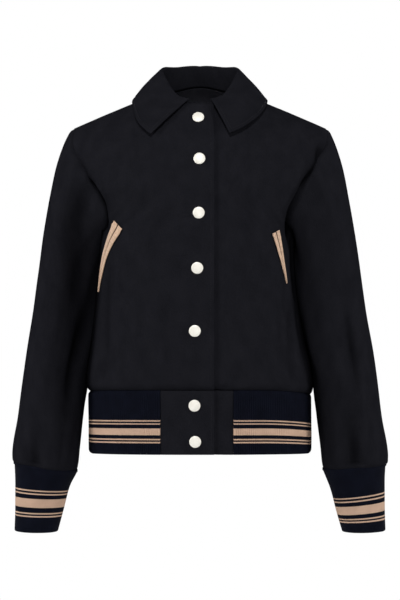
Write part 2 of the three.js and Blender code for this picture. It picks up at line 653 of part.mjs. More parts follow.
/** Length of the band between two turns, and the turns that divide it into equal parts. */
function measureBand(from, to, parts) {
  const turns = along(from, to, MEASURING_STEPS);
  const lengths = [0];
  for (let i = 1; i < turns.length; i++)
    lengths.push(lengths[i - 1] + bandPoint(turns[i], 0).distanceTo(bandPoint(turns[i - 1], 0)));
  let i = 0;
  const even = along(0, lengths.at(-1), parts).map((length) => {
    while (i < lengths.length - 2 && lengths[i + 1] < length) i++;
    const share = (length - lengths[i]) / (lengths[i + 1] - lengths[i]);
    return turns[i] + share * (turns[i + 1] - turns[i]);
  });
  return { length: lengths.at(-1), even };
}

function hemBand() {
  const from = turnAt(BAND.underTabEnd + SEAM_GAP, -1);
  const to = 4 + turnAt(BAND.topTabEnd - SEAM_GAP, -1);
  const ribs = Math.round(measureBand(from, to, 1).length / RIB.pitch / 4) * 4;
  const rows = (parts) => {
    const { even } = measureBand(from, to, parts);
    return [1, 0.5, 0].map((down) => even.map((turn) => bandPoint(turn, down)));
  };
  const ribbed = moved(rows(ribs * 2), (r, c) => (c % 2 ? RIB.height : 0));
  const inner = moved(rows((ribs * 2) / STEPS.bandInner), () => -BAND.thickness);
  wall("hem_band", ribbed, inner, RIB_KNIT);
}

/** A plain cloth tab that closes the band at the centre front. */
function hemTab(name, fromX, toX, inset) {
  const [from, to] = [turnAt(fromX, -1), turnAt(toX, -1)];
  const flat = [1, 0.5, 0].map((down) => along(from, to, 6).map((turn) => bandPoint(turn, down)));
  const grid = moved(flat, (r, c) => -inset(flat[r][c].x));
  cloth(name, grid, CLOTH, WOOL);
}

/** The collar: one wall that stands up from the neck seam, folds over and lies on the shoulders. */
function collar() {
  const stations = (side) => {
    const rows = COLLAR[side < 0 ? "right" : "left"];
    const angles = [...along(rows[0].angle, 90, STEPS.neck), ...along(90, 180, STEPS.neck + 1).slice(1)];
    return angles.map((angle) => profile(rows, angle, side));
  };
  const profile = (rows, angle, side) => {
    const place = neckline(angle, side);
    const seam = body(place.turn, place.level);
    const turned = (angle * Math.PI) / 180;
    const out = point(side * Math.sin(turned) * NECK.back, -Math.cos(turned) * NECK.halfWidth, 0).normalize();
    const stand = read(rows, "angle", "stand", angle);
    const lean = read(rows, "angle", "lean", angle);
    const fold = Math.min(LEAF.foldRadius, stand + 0.4);
    const base = seam.clone().addScaledVector(out, -COLLAR_CLOTH).setZ(seam.z + SEAM_GAP + 0.2);
    const middle = base.clone().addScaledVector(out, lean + fold).setZ(seam.z + stand);
    const around = (degrees) => {
      const a = (degrees * Math.PI) / 180;
      const p = middle.clone().addScaledVector(out, -fold * Math.cos(a));
      return p.setZ(p.z + fold * (Math.sin(a) - 1) + fold);
    };
    const level = read(rows, "angle", "edgeLevel", angle);
    const isBack = level > 1;
    const onLevel = isBack ? 2 - level : level;
    const edgeX = side * read(rows, "angle", "edgeX", angle);
    const edge = lifted(turnAt(edgeX, onLevel, isBack), onLevel, read(rows, "angle", "lift", angle));
    const start = around(LEAF.foldEnds);
    const over = out.clone().multiplyScalar(0.6).setZ(0.8);
    const leaf = along(0, 1, 5)
      .slice(1)
      .map((t) => start.clone().lerp(edge, t).addScaledVector(over, LEAF.bulge * 4 * t * (1 - t)));
    const halfway = base.clone().lerp(around(0), 0.55);
    return [base, halfway, around(0), around(LEAF.foldEnds / 2), start, ...leaf];
  };
  const right = stations(-1);
  const left = stations(1).toReversed().slice(1);
  const columns = [...right, ...left];
  const grid = columns[0].map((_, r) => columns.map((column) => column[r]));
  cloth("collar", grid, COLLAR_CLOTH, WOOL);
}

/** Where a straight line from outside first meets a piece, and the way the piece faces there. */
function land(mesh, from, direction) {
  mesh.updateMatrixWorld();
  const hit = new THREE.Raycaster(from, direction.clone().normalize()).intersectObject(mesh)[0];
  return { p: hit.point, out: hit.face.normal.clone() };
}

/** The two lips of a pocket welt, laid on the front from its own surface. */
function welt({ name, side, places, lip }) {
  const mesh = pieces["front_" + name];
  const shares = along(0, 1, STEPS.welt);
  const line = shares.map((t) => {
    const weights = [(1 - t) * (1 - 2 * t), 4 * t * (1 - t), t * (2 * t - 1)];
    const [turn, level] = [side, 1].map((sign, k) =>
      weights.reduce((sum, weight, i) => sum + sign * weight * places[i][k], 0),
    );
    const p = body(turn, level);
    const out = lifted(turn, level, 1).sub(p);
    const sideways = body(turn + side * SMALL_TURN, level).sub(p);
    return { p, out, sideways };
  });
  const onFront = ({ p, out, across }, offset, distance) => {
    const over = p.clone().addScaledVector(across, offset).addScaledVector(out, FROM_OUTSIDE);
    return land(mesh, over, out.clone().negate()).p.addScaledVector(out, distance);
  };
  const slit = line.map(({ p, out, sideways }, i) => {
    const run = line[Math.min(i + 1, line.length - 1)].p.clone().sub(line[Math.max(i - 1, 0)].p).normalize();
    const across = sideways.addScaledVector(run, -sideways.dot(run)).normalize();
    return { p, out, across };
  });
  const near = WELT.slit / 2;
  const far = shares.map((t) => near + lip.upper - (lip.upper - lip.lower) * t ** lip.narrowing);
  for (const [part, sign] of [["front", -1], ["side", 1]]) {
    const edges = [shares.map(() => sign * near), far.map((offset) => sign * offset)];
    const ordered = side * sign > 0 ? edges : edges.toReversed();
    const rows = (distance) =>
      ordered.map((offsets) => slit.map((place, i) => onFront(place, offsets[i], distance)));
    wall(`welt_${name}_${part}`, rows(WELT.lift + WELT.thickness), rows(WELT.lift), WELT_CLOTH);
  }
}

/** A snap cap: a low dome with a rounded rim, on the outside of the cloth it closes. */
function snap({ x, z, on }, number) {
  const { radius, height, rim } = SNAP;
  const inFront = -BODY[0].front - FROM_OUTSIDE;
  const { p, out } = land(pieces[on], point(x, inFront, z), point(0, 1, 0));
  const profile = [
    [0, 0],
    [radius - rim, 0],
    [radius, rim],
    [radius - rim * 0.7, rim * 2.3],
    [radius * 0.72, height * 0.88],
    [radius * 0.36, height * 0.98],
    [0, height],
  ].map(([r, h]) => new THREE.Vector2(r, h));
  const geometry = new THREE.LatheGeometry(profile, STEPS.snapSides);
  geometry.rotateX(Math.PI / 2);
  const cap = add(`snap_${number}`, geometry, SNAP_CAP);
  cap.quaternion.setFromUnitVectors(point(0, 0, 1), out);
  cap.position.copy(p.addScaledVector(out, SEAM_GAP));
}

front("front_right", -1, TOP_FRONT_EDGE, () => 0);
front("front_left", 1, UNDER_FRONT_EDGE, lapInset);
back();
sleeve("sleeve_right", -1);
sleeve("sleeve_left", 1);
cuff("cuff_right", -1);
cuff("cuff_left", 1);
collar();
hemBand();
hemTab("hem_tab_right", BAND.topTabEnd, TOP_FRONT_EDGE, () => 0);
hemTab("hem_tab_left", UNDER_FRONT_EDGE, BAND.underTabEnd, lapInset);
POCKETS.forEach(welt);
SNAPS.forEach((row, i) => snap(row, i + 1));

export default jacket;
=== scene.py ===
# %% [markdown]
# # A short wool jacket with knitted bands
# This lesson dresses the plain solids of a jacket with cloth. A real jacket is cut from flat pieces:
# two fronts, a back, two sleeves, a collar and a few small parts, with knitted bands at hem and wrists.
# Here each of those pieces is one mesh. It could be modelled by hand or by a cloth simulation, but a
# grid of points worked out from a few measures keeps every seam exactly where its neighbour ends.

import bpy
import numpy as np
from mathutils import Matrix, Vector


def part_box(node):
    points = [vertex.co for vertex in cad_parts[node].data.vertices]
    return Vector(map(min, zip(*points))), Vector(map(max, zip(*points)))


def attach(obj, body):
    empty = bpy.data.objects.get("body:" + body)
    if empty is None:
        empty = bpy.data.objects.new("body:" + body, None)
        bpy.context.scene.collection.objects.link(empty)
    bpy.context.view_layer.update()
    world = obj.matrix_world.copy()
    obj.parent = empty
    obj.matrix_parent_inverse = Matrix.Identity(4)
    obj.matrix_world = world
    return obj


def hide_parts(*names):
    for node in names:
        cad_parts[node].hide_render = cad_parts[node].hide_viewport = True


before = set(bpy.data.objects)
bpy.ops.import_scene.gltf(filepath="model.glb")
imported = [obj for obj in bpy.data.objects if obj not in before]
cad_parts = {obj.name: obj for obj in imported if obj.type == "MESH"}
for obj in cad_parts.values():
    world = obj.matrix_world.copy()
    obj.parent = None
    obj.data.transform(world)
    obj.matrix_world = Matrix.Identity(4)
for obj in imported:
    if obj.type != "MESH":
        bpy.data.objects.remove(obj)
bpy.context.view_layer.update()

# %% [markdown]
# ## The measures of the body
# A tailor works from rows of measures: so wide and so deep at the hem, waist, chest and shoulder.
# Each table below holds such rows, in millimetres. A place on the body is given by two numbers. Turn
# runs round it: 0 is the centre front, 1 the wearer's left side, 2 the centre back and -1 the right
# side. Level runs up it: -1 is the hem seam, 0 the armpit and 1 the shoulder seam.

# %% Measures of the body
CLOTH = 2.0  # thickness of the wool
SEAM_GAP = 0.35
ARMPIT_Z = -222
HEM_Z = -462.5
HEM_TILT = 0.052  # the hem rises by this much for each millimetre towards the front
HEM_DROP = 5  # and comes down by this much at the wearer's left side
CORNER = 2.35  # 2 would make the body's section an ellipse, and more makes it squarer
TOP_FRONT_EDGE = 20.6
UNDER_FRONT_EDGE = -19
LAP_STEP = 2.7  # how far the lower front lies behind the upper one
BAND = {"height": 92.4, "thickness": 2.6, "top tab end": -57, "under tab end": 48}
RIB = {"pitch": 3.2, "height": 0.8}
NECK = {"half width": 63, "front": 78, "back": 56}
SHOULDER = {"height": 15, "slope": 0.436, "soft middle": 40, "neck rise": 17, "neck reach": 50}
ROUNDING = {"rise": 1.8, "front": 3, "back": 5, "fall": 1.7}  # powers that curve the shoulders over

BODY = {
    "level": [-1, -0.955, -0.85, -0.75, -0.55, -0.33, -0.15, 0, 0.07, 0.22, 0.31, 0.45, 0.6, 1],
    "right": [165.5, 170, 168, 164, 158, 153.5, 150, 148.5, 152, 177, 187.5, 197.5, 200, 202],
    "left": [166, 169, 166.5, 160.5, 151, 143.5, 141, 142, 147, 174, 186, 197.5, 200, 202],
    "front": [125, 129.5, 129.5, 129, 128, 128, 129, 128, 126.5, 123, 121, 117, 113, 108],
    "back": [119, 123.5, 122.5, 120, 116, 112, 111, 113, 114, 116, 117, 117, 116, 113],
}
ARMHOLE = {
    "share": [0, 0.085, 0.22, 0.325, 0.47, 0.565, 0.685, 0.77, 0.85, 1],
    "front": [1, 0.93, 0.8, 0.73, 0.712, 0.709, 0.717, 0.75, 0.78, 0.765],
    "back": [1, 0.93, 0.82, 0.75, 0.728, 0.722, 0.728, 0.752, 0.775, 0.765],
    "level": [0, 0.01, 0.043, 0.11, 0.223, 0.314, 0.446, 0.536, 0.64, 1],
}
print("rows of body measures:", len(BODY["level"]))


# %% [markdown]
# ## Reading a table smoothly
# Between two rows of measures the cloth runs in a soft curve. Straight lines would leave bands in the
# shading, and an ordinary spline could swing past the measures. This curve passes through each row
# and never overshoots.

# %% Read a table, and find a point on the body
def read(table, by, column, at):
    places, values = np.array(table[by], float), np.array(table[column], float)
    if places[0] > places[-1]:
        places, values = places[::-1], values[::-1]
    secant = np.diff(values) / np.diff(places)
    before, after = secant[:-1], secant[1:]
    turning = before * after <= 0
    middle = np.where(turning, 0, 2 * before * after / np.where(turning, 1, before + after))
    slope = np.concatenate([secant[:1], middle, secant[-1:]])
    at = np.clip(at, places[0], places[-1])
    i = np.clip(np.searchsorted(places, at, side="right") - 1, 0, len(places) - 2)
    width = places[i + 1] - places[i]
    t = (at - places[i]) / width
    rise_part = slope[i] * width * t * (1 - t) ** 2 + slope[i + 1] * width * t * t * (t - 1)
    return values[i] * (1 + 2 * t) * (1 - t) ** 2 + values[i + 1] * t * t * (3 - 2 * t) + rise_part


def smoothstep(value, low, high):
    t = np.clip((value - low) / (high - low), 0, 1)
    return t * t * (3 - 2 * t)


def unit(vectors):
    return vectors / np.maximum(np.linalg.norm(vectors, axis=-1, keepdims=True), 1e-12)


def shoulder_height(x):
    slope = SHOULDER["slope"] * np.hypot(x, SHOULDER["soft middle"])
    neck = SHOULDER["neck rise"] * np.exp(-((x / SHOULDER["neck reach"]) ** 2))
    return SHOULDER["height"] - slope + neck


def rise(level):
    return np.where(level <= 0, 0, 1 - np.maximum(0, 1 - level) ** ROUNDING["rise"])


def across_at(turn):
    """The same turn seen from in front: -1 at the right side, 0 in the middle, 1 at the left side."""
    place = np.mod(turn + 1, 4) - 1
    return np.where(np.abs(place) <= 1, place, 2 - place)


def hem_drop(turn):
    return HEM_DROP * smoothstep(across_at(turn), 0.3, 1)


def body(turn, level):
    turn, level = np.broadcast_arrays(np.asarray(turn, float), np.asarray(level, float))
    in_front = np.abs(np.mod(turn + 1, 4) - 1) <= 1
    across = across_at(turn)
    angle = np.abs(across) * np.pi / 2
    half = np.where(across < 0, read(BODY, "level", "right", level), read(BODY, "level", "left", level))
    x = np.sign(across) * half * np.sin(angle) ** (2 / CORNER)
    reach = np.where(in_front, read(BODY, "level", "front", level), read(BODY, "level", "back", level))
    up = rise(level)
    power = np.where(in_front, ROUNDING["front"], ROUNDING["back"])
    fall = np.maximum(0, 1 - up**power) ** (1 / ROUNDING["fall"])
    y = np.where(in_front, -1, 1) * reach * np.maximum(0, np.cos(angle)) ** (2 / CORNER) * fall
    down = np.minimum(level, 0)
    z = ARMPIT_Z + down * (ARMPIT_Z - HEM_Z) - (HEM_TILT * y + hem_drop(turn)) * down * down
    return np.stack([x, y, z + up * (shoulder_height(x) - ARMPIT_Z)], -1)


SMALL_STEP = 0.004


def outward(turn, level):
    """The direction straight out of the body at a place."""
    across = body(turn + SMALL_STEP, level) - body(turn - SMALL_STEP, level)
    above, below = np.clip(level + SMALL_STEP, -1, 1), np.clip(level - SMALL_STEP, -1, 1)
    up = body(turn, above) - body(turn, below)
    out = np.cross(across, up)
    on_seam = np.abs(body(turn, level)[..., 1]) < 1
    out[..., 1] = np.where(on_seam, 0, out[..., 1])
    return unit(out)


def turn_at(x, level, at_back=False):
    x, level = np.broadcast_arrays(np.asarray(x, float), np.asarray(level, float))
    half = np.where(x < 0, read(BODY, "level", "right", level), read(BODY, "level", "left", level))
    share = np.minimum(1, np.abs(x) / half) ** (CORNER / 2)
    across = np.sign(x) * np.arcsin(share) * 2 / np.pi
    return 2 - across if at_back else across


def neckline(angles, side, at_back):
    """Places on the neck seam, found by halving: 0 degrees is in front and 180 at the back."""
    turned = np.radians(np.asarray(angles, float))
    x = side * NECK["half width"] * np.sin(turned)
    reach = np.abs(np.cos(turned)) * NECK["back" if at_back else "front"]
    low, high = np.full(x.shape, 0.2), np.ones(x.shape)
    for _ in range(40):
        middle = (low + high) / 2
        beyond = np.abs(body(turn_at(x, middle, at_back), middle)[..., 1]) > reach
        low, high = np.where(beyond, middle, low), np.where(beyond, high, middle)
    low = np.where(np.isclose(angles, 90), 1, low)
    return np.stack([turn_at(x, low, at_back), low], -1)


print("centre front at the armpit:", body(0, 0).round(1), "mm")


# %% [markdown]
# ## From a grid of points to cloth
# Cloth has two faces and a rim. Each piece is a grid of outer points, a grid of inner points one
# cloth thickness behind them, and a strip round the edge that joins the two. The solidify modifier
# could do this, but then a ribbed outside would carry its ribs through to the inside too. The mesh
# also gets a map named cloth, in metres along and across the piece, for weave and stripes to follow.

# %% Build a shell
MM = 0.001


def grid_normals(grid, ring=False):
    across = np.roll(grid, -1, 1) - np.roll(grid, 1, 1) if ring else np.gradient(grid, axis=1)
    return unit(np.cross(across, np.gradient(grid, axis=0)))


def measured(grid):
    """Distances along and up the piece, in metres: what a tape laid on the cloth would show."""
    flat = np.zeros(grid.shape[:2] + (2,))
    flat[:, 1:, 0] = np.cumsum(np.linalg.norm(np.diff(grid, axis=1), axis=-1), axis=1)
    flat[:, :, 0] -= flat[:, -1:, 0] / 2
    flat[1:, :, 1] = np.cumsum(np.linalg.norm(np.diff(grid, axis=0), axis=-1), axis=0)
    return flat * MM


def listed(faces):
    """How many corners each face has, and all the corners in one row, as a mesh takes them."""
    return np.array([len(face) for face in faces]), np.concatenate([np.array(face) for face in faces])


def shell(name, outer, inner, ring=False, flat=None, painted_fold_shade=None):
    """A piece of cloth. The inner grid may have fewer columns than the outer one."""
    rows, outer_columns = outer.shape[:2]
    inner_columns = inner.shape[1]
    segments = inner_columns if ring else inner_columns - 1
    finer = (outer_columns if ring else outer_columns - 1) // segments
    steps = segments * finer
    wrapped = np.concatenate([outer, outer[:, :1]], 1) if ring else outer
    flat = measured(wrapped) if flat is None else flat

    def corner(r, c):
        return r * (steps + 1) + c

    def inside(r, c):
        return rows * (steps + 1) + r * (segments + 1) + c

    r, c = np.mgrid[0 : rows - 1, 0:steps]
    faces = np.stack([corner(r, c), corner(r, c + 1), corner(r + 1, c + 1), corner(r + 1, c)], -1)
    faces = faces.reshape(-1, 4).tolist()
    r, c = np.mgrid[0 : rows - 1, 0:segments]
    back_faces = np.stack([inside(r, c), inside(r + 1, c), inside(r + 1, c + 1), inside(r, c + 1)], -1)
    faces += back_faces.reshape(-1, 4).tolist()
    last = rows - 1
    for c in range(segments):
        fine = range(c * finer, (c + 1) * finer + 1)
        faces.append([inside(0, c), inside(0, c + 1)] + [corner(0, k) for k in reversed(fine)])
        faces.append([inside(last, c + 1), inside(last, c)] + [corner(last, k) for k in fine])
    for r in range(0 if ring else last):
        faces.append([corner(r, 0), corner(r + 1, 0), inside(r + 1, 0), inside(r, 0)])
        faces.append([corner(r + 1, steps), corner(r, steps), inside(r, segments), inside(r + 1, segments)])

    r, c = np.mgrid[0:rows, 0 : steps + 1]
    outer_ids = (r * outer_columns + c % outer_columns).ravel()
    r, k = np.mgrid[0:rows, 0 : segments + 1]
    inner_ids = (rows * outer_columns + r * inner_columns + k % inner_columns).ravel()
    ids = np.concatenate([outer_ids, inner_ids])
    flats = np.concatenate([flat.reshape(-1, 2), flat[:, ::finer].reshape(-1, 2)])
    points = np.concatenate([outer.reshape(-1, 3), inner.reshape(-1, 3)]) * MM
    sizes, loops = listed(faces)
    piece = make_object(name, points, sizes, ids[loops], flats[loops])
    is_back = np.zeros(len(faces), int)
    is_back[(rows - 1) * steps : (rows - 1) * (steps + segments)] = 1
    piece.data.polygons.foreach_set("material_index", is_back)
    # Painted shade: a share for each outer point that darkens the wool's colour in its folds
    if painted_fold_shade is not None:
        values = np.concatenate([painted_fold_shade.ravel(), np.zeros(len(points) - painted_fold_shade.size)])
        piece.data.attributes.new("painted_fold_shade", "FLOAT", "POINT").data.foreach_set("value", values)
    return piece


def make_object(name, points, sizes, loops, flats=None):
    mesh = bpy.data.meshes.new(name)
    mesh.vertices.add(len(points))
    mesh.vertices.foreach_set("co", points.ravel())
    mesh.loops.add(len(loops))
    mesh.loops.foreach_set("vertex_index", loops)
    mesh.polygons.add(len(sizes))
    mesh.polygons.foreach_set("loop_start", np.concatenate([[0], np.cumsum(sizes)[:-1]]))
    mesh.polygons.foreach_set("use_smooth", np.ones(len(sizes), bool))
    if flats is not None:
        mesh.uv_layers.new(name="cloth").data.foreach_set("uv", flats.ravel())
    mesh.update(calc_edges=True)
    mesh.validate()
    piece = bpy.data.objects.new(name, mesh)
    bpy.context.scene.collection.objects.link(piece)
    print(name, "has", len(sizes), "faces")
    return piece


def finish_piece(piece, nodes, material, back_material=None):
    piece.data.materials.append(material)
    piece.data.materials.append(back_material or material)
    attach(piece, "root")
    if nodes:
        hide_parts(*nodes)
    return piece


# %% [markdown]
# ## Seams, edges and folds
# Sewn cloth is never flat beside a seam: the edge is pulled in and the cloth swells next to it. A
# free edge is rounded instead. Folds are long soft troughs and ridges, deepest in their middle, and
# over everything lies a slow unevenness. Modelling them as small moves along the cloth's own normal
# keeps them in the mesh, where light from any side shows them.

# %% Distances to an edge, seam relief, folds and unevenness
def distance_to(grid, curve):
    """Shortest distance in millimetres from every point of a grid to a curve."""
    steps = np.linalg.norm(np.diff(curve, axis=0), axis=-1)
    at = np.concatenate([[0], np.cumsum(steps)])
    fine = np.arange(0, at[-1], 1.0)
    dense = np.stack([np.interp(fine, at, curve[:, k]) for k in range(3)], -1)
    return np.stack([np.linalg.norm(row[:, None] - dense[None], axis=-1).min(1) for row in grid])


PULLED_IN = {"depth": 0.95, "width": 1.7}
SWELL = {"height": 0.45, "from seam": 6.5, "width": 4.5}
EDGE_DEPTH = 0.75
WAVE_COUNT, WAVE_SUM = 8, 2.8


def seam_relief(distance):
    pulled = -PULLED_IN["depth"] * np.exp(-((distance / PULLED_IN["width"]) ** 2))
    return pulled + SWELL["height"] * np.exp(-(((distance - SWELL["from seam"]) / SWELL["width"]) ** 2))


def edge_round(distance, radius=1.0):
    inside = np.clip(1 - distance / radius, 0, 1)
    return -radius * EDGE_DEPTH * (1 - np.sqrt(1 - inside**2))


def waves(points, length, height, seed, stretch=(1, 1, 0.5)):
    """A slow unevenness: a few waves in random directions, the same on every run."""
    random = np.random.default_rng(seed)
    total = 0
    for _ in range(WAVE_COUNT):
        direction = unit(random.normal(size=3)) * np.array(stretch)
        direction = direction * 2 * np.pi / (length * random.uniform(0.7, 1.4))
        total = total + np.sin(points @ direction + random.uniform(0, 2 * np.pi))
    return total * height / WAVE_SUM


def line_distance(px, py, ax, ay, bx, by, bend):
    """Distance to a line that bows sideways by bend at its middle, and the share along it."""
    length = np.hypot(bx - ax, by - ay)
    t = ((px - ax) * (bx - ax) + (py - ay) * (by - ay)) / length**2
    side = ((px - ax) * (by - ay) - (py - ay) * (bx - ax)) / length
    inside = np.clip(t, 0, 1)
    side = side - bend * 4 * inside * (1 - inside)
    return np.hypot(side, (t - inside) * length), inside


# %% Folds of the body
# Each row: turn and level where a fold starts and ends, depth (a ridge is negative), reach, bend.
MAIN_FOLDS = [
    (-0.715, 0.5, -0.712, 0.24, 3, 20, 0),
    (-0.712, 0.2, -0.79, 0.05, 9, 23, 0),
    (0.73, 0.52, 0.712, 0.25, 8, 30, 0),
    (0.712, 0.25, 0.79, 0.05, 13, 32, 0),
    (0.85, -0.08, 0.87, -0.32, 6, 22, 0),
    (-0.7, -0.35, -0.62, -0.85, 4.5, 24, 0),
    (0.66, -0.55, 0.58, -0.86, 4.5, 24, 0),
    (1.42, 0.4, 1.3, 0.12, 5, 24, 0),
    (2.58, 0.4, 2.7, 0.12, 5, 24, 0),
    (1.5, -0.1, 1.62, -0.8, 4, 26, 0),
    (2.5, -0.15, 2.36, -0.82, 4, 26, 0),
]
CREASES = [
    (-0.515, 0.27, -0.6, 0.13, -3.2, 8, -3),
    (-0.6, 0.14, -0.73, 0.02, -2.6, 8, 2),
    (-0.69, 0.42, -0.7, 0.1, 6.5, 14, 0),
    (-0.74, 0.1, -0.8, 0.02, 4.5, 13, 0),
    (0.6, 0.62, 0.535, 0.36, -2.4, 12, 3),
    (0.53, 0.36, 0.56, 0.1, -3.0, 10, -4),
    (0.7, 0.62, 0.68, 0.3, 5.0, 17, 0),
    (0.7, 0.3, 0.78, 0.05, 6.5, 18, 0),
    (-0.55, -0.16, -0.48, -0.45, 2.4, 12, 6),
    (-0.48, -0.4, -0.4, -0.95, 2.8, 13, -4),
    (-0.4, -0.3, -0.34, -0.9, -1.1, 14, -5),
    (-0.27, -0.35, -0.24, -0.92, 0.8, 12, 4),
    (0.66, -0.34, 0.55, -0.56, 2.6, 12, -3),
    (0.55, -0.5, 0.42, -0.94, 2.8, 13, -5),
    (0.42, -0.4, 0.36, -0.9, -1.2, 13, 4),
    (0.25, -0.55, 0.22, -0.96, 0.8, 11, 3),
    (-0.75, -0.5, -0.7, -0.93, 1.4, 12, 4),
    (0.78, -0.45, 0.72, -0.93, 1.5, 12, -4),
    (-0.65, -0.68, -0.4, -0.735, -0.9, 5, 3),
    (0.24, -0.72, 0.39, -0.75, -0.9, 5, -2),
    (-0.35, 0.035, -0.26, -0.02, -0.7, 5, 2),
    (0.25, 0.0, 0.35, -0.035, -0.7, 5, -2),
    (0.06, -0.93, 0.24, -0.985, -1.7, 5.5, 3),
    (0.1, -0.985, 0.27, -0.975, 1.2, 4.5, -2),
    (0.3, -0.96, 0.52, -0.985, -0.9, 5, -3),
    (-0.5, -0.965, -0.32, -0.98, -0.5, 5, 2),
    (-0.6, 0.0, -0.45, -0.03, 0.9, 10, 3),
    (0.42, 0.0, 0.5, 0.02, 0.9, 10, -3),
    (1.6, 0.3, 1.42, 0.02, 1.8, 13, 6),
    (2.4, 0.3, 2.6, 0.02, 1.8, 13, -6),
    (1.8, -0.2, 1.86, -0.85, 1.4, 16, 7),
    (2.2, -0.25, 2.12, -0.9, 1.5, 16, -6),
    (1.35, -0.3, 1.42, -0.92, 1.4, 14, 5),
    (2.66, -0.25, 2.56, -0.9, 1.4, 14, -5),
    (2.0, 0.35, 2.0, -0.1, -0.9, 22, 5),
    (1.7, 0.62, 2.3, 0.62, 0.9, 20, 9),
    (1.75, -0.93, 1.95, -0.98, -1.1, 6, 3),
    (2.3, -0.97, 2.5, -0.94, -1.0, 6, 3),
]
ALONG_TURN, ALONG_LEVEL = 232, 165  # millimetres for one whole turn number or level
RAISED_SIDES = 0.3  # weight of the raised cloth on both sides of a crease


def to_fold(turn, level, ax, ay, bx, by, bend):
    """Distance in millimetres to a fold's line, and the share along it."""
    ends = (ax * ALONG_TURN, ay * ALONG_LEVEL, bx * ALONG_TURN, by * ALONG_LEVEL)
    return line_distance(turn * ALONG_TURN, level * ALONG_LEVEL, *ends, bend)


def folds(turn, level):
    """How far the folds press the body in at a place, in millimetres."""
    depth = 0
    for *ends, full, reach, bend in MAIN_FOLDS:
        away, _ = to_fold(turn, level, *ends, bend)
        depth = np.maximum(depth, full * np.exp(-2 * (away / reach) ** 2))
    for *ends, full, reach, bend in CREASES:
        away, t = to_fold(turn, level, *ends, bend)
        fading = 0.35 + 0.65 * np.sin(np.pi * np.clip(t, 0.02, 0.98))
        uneven = fading * (1 + 0.25 * np.sin(9 * t + ends[0] * 7))
        trough = np.exp(-2 * (away / reach) ** 2)
        sides = np.exp(-0.5 * (away / reach) ** 2)
        depth = depth + full * uneven * (trough - RAISED_SIDES * sides)
    return depth


print("large folds:", len(MAIN_FOLDS), "creases:", len(CREASES))


# %% Rows that lie closer together at both ends
NEAR_AN_EDGE = np.array([0.5, 1.1, 1.8, 2.6, 3.6])
EVEN_FROM = 4.4


def spaced(count, length):
    """Shares from 0 to 1, evenly but closer together within a few millimetres of both ends."""
    even = np.linspace(0, 1, count)
    near = NEAR_AN_EDGE / length
    even = even[(even > EVEN_FROM / length) & (even < 1 - EVEN_FROM / length)]
    return np.concatenate([[0], near, even, 1 - near[::-1], [1]])


# %% [markdown]
# ## Two fronts and a back
# A front is cut with four edges: the hem, the front edge, the side seam that runs on round the
# armhole, and the neckline with the shoulder. The space between four curves can be filled by blending
# them, which is what a Coons patch does. The rows only turn to follow the neckline near the top, so
# the cloth isn't dragged past the armpit. The wearer's right front laps over the left one, so the
# left one lies a little further in beside its edge.

# %% Lay out the fronts and the back
ARMPIT_SHARE = 0.42  # the part of a panel's height that is below the armpit
NECK_SHARE = 0.42  # the part of its top edge that is neckline
PANEL_HEIGHT, PANEL_WIDTH = 470, 240


def side_edge(shares, at_back):
    """The outer edge of a front or half a back, as turn (1 is the side seam) and level."""
    lower = shares <= ARMPIT_SHARE
    armhole = np.clip((shares - ARMPIT_SHARE) / (1 - ARMPIT_SHARE), 0, 1)
    out = np.where(lower, 1, read(ARMHOLE, "share", "back" if at_back else "front", armhole))
    level = np.where(lower, shares / ARMPIT_SHARE - 1, read(ARMHOLE, "share", "level", armhole))
    return np.stack([out, level], -1)


def centre_levels(shares, top):
    """The levels up the middle of the body, from the hem to the neckline."""
    armhole = np.clip((shares - ARMPIT_SHARE) / (1 - ARMPIT_SHARE), 0, 1)
    upper = top * (armhole + read(ARMHOLE, "share", "level", armhole)) / 2
    return np.where(shares <= ARMPIT_SHARE, shares / ARMPIT_SHARE - 1, upper)


def fill(bottom, top, start, end, along, up):
    """The space between four edges, blended."""
    v = (up**3)[:, None, None]
    u = along[None, :, None]
    between = (1 - v) * bottom[None] + v * top[None] + (1 - u) * start[:, None] + u * end[:, None]
    lower_corners = (1 - u) * bottom[0] + u * bottom[-1]
    upper_corners = (1 - u) * top[0] + u * top[-1]
    return between - (1 - v) * lower_corners - v * upper_corners


def top_edge(shares, first_angle, side, at_back):
    """The neckline from an angle to the shoulder seam, then the shoulder out to the armhole."""
    tip = abs(float(body(ARMHOLE["front"][-1], 1)[0]))
    on_neck = shares <= NECK_SHARE
    angles = first_angle + (90 - first_angle) * np.minimum(shares / NECK_SHARE, 1)
    neck = neckline(angles, side, at_back)
    out = np.clip((shares - NECK_SHARE) / (1 - NECK_SHARE), 0, 1)
    x = side * (NECK["half width"] + (tip - NECK["half width"]) * out)
    shoulder = np.stack([turn_at(x, 1.0, at_back), np.ones(len(x))], -1)
    return np.where(on_neck[:, None], neck, shoulder)


ROW_COUNT, FRONT_COLUMNS, HALF_BACK_COLUMNS = 176, 92, 78
rows_up = spaced(ROW_COUNT, PANEL_HEIGHT)
ARMPIT_ROW = int(np.abs(rows_up - ARMPIT_SHARE).argmin())
rows_up[ARMPIT_ROW] = ARMPIT_SHARE


def front_places(side, edge_x):
    along = spaced(FRONT_COLUMNS, PANEL_WIDTH)
    first_angle = np.degrees(np.arcsin(side * edge_x / NECK["half width"]))
    top = top_edge(along, first_angle, side, False)
    levels = centre_levels(rows_up, top[0, 1])
    start = np.stack([turn_at(edge_x, levels), levels], -1)
    end = side_edge(rows_up, False) * [side, 1]
    bottom = np.stack([start[0, 0] + (side - start[0, 0]) * along, -np.ones(len(along))], -1)
    places = fill(bottom, top, start, end, along, rows_up)
    return places[:, ::-1] if side < 0 else places


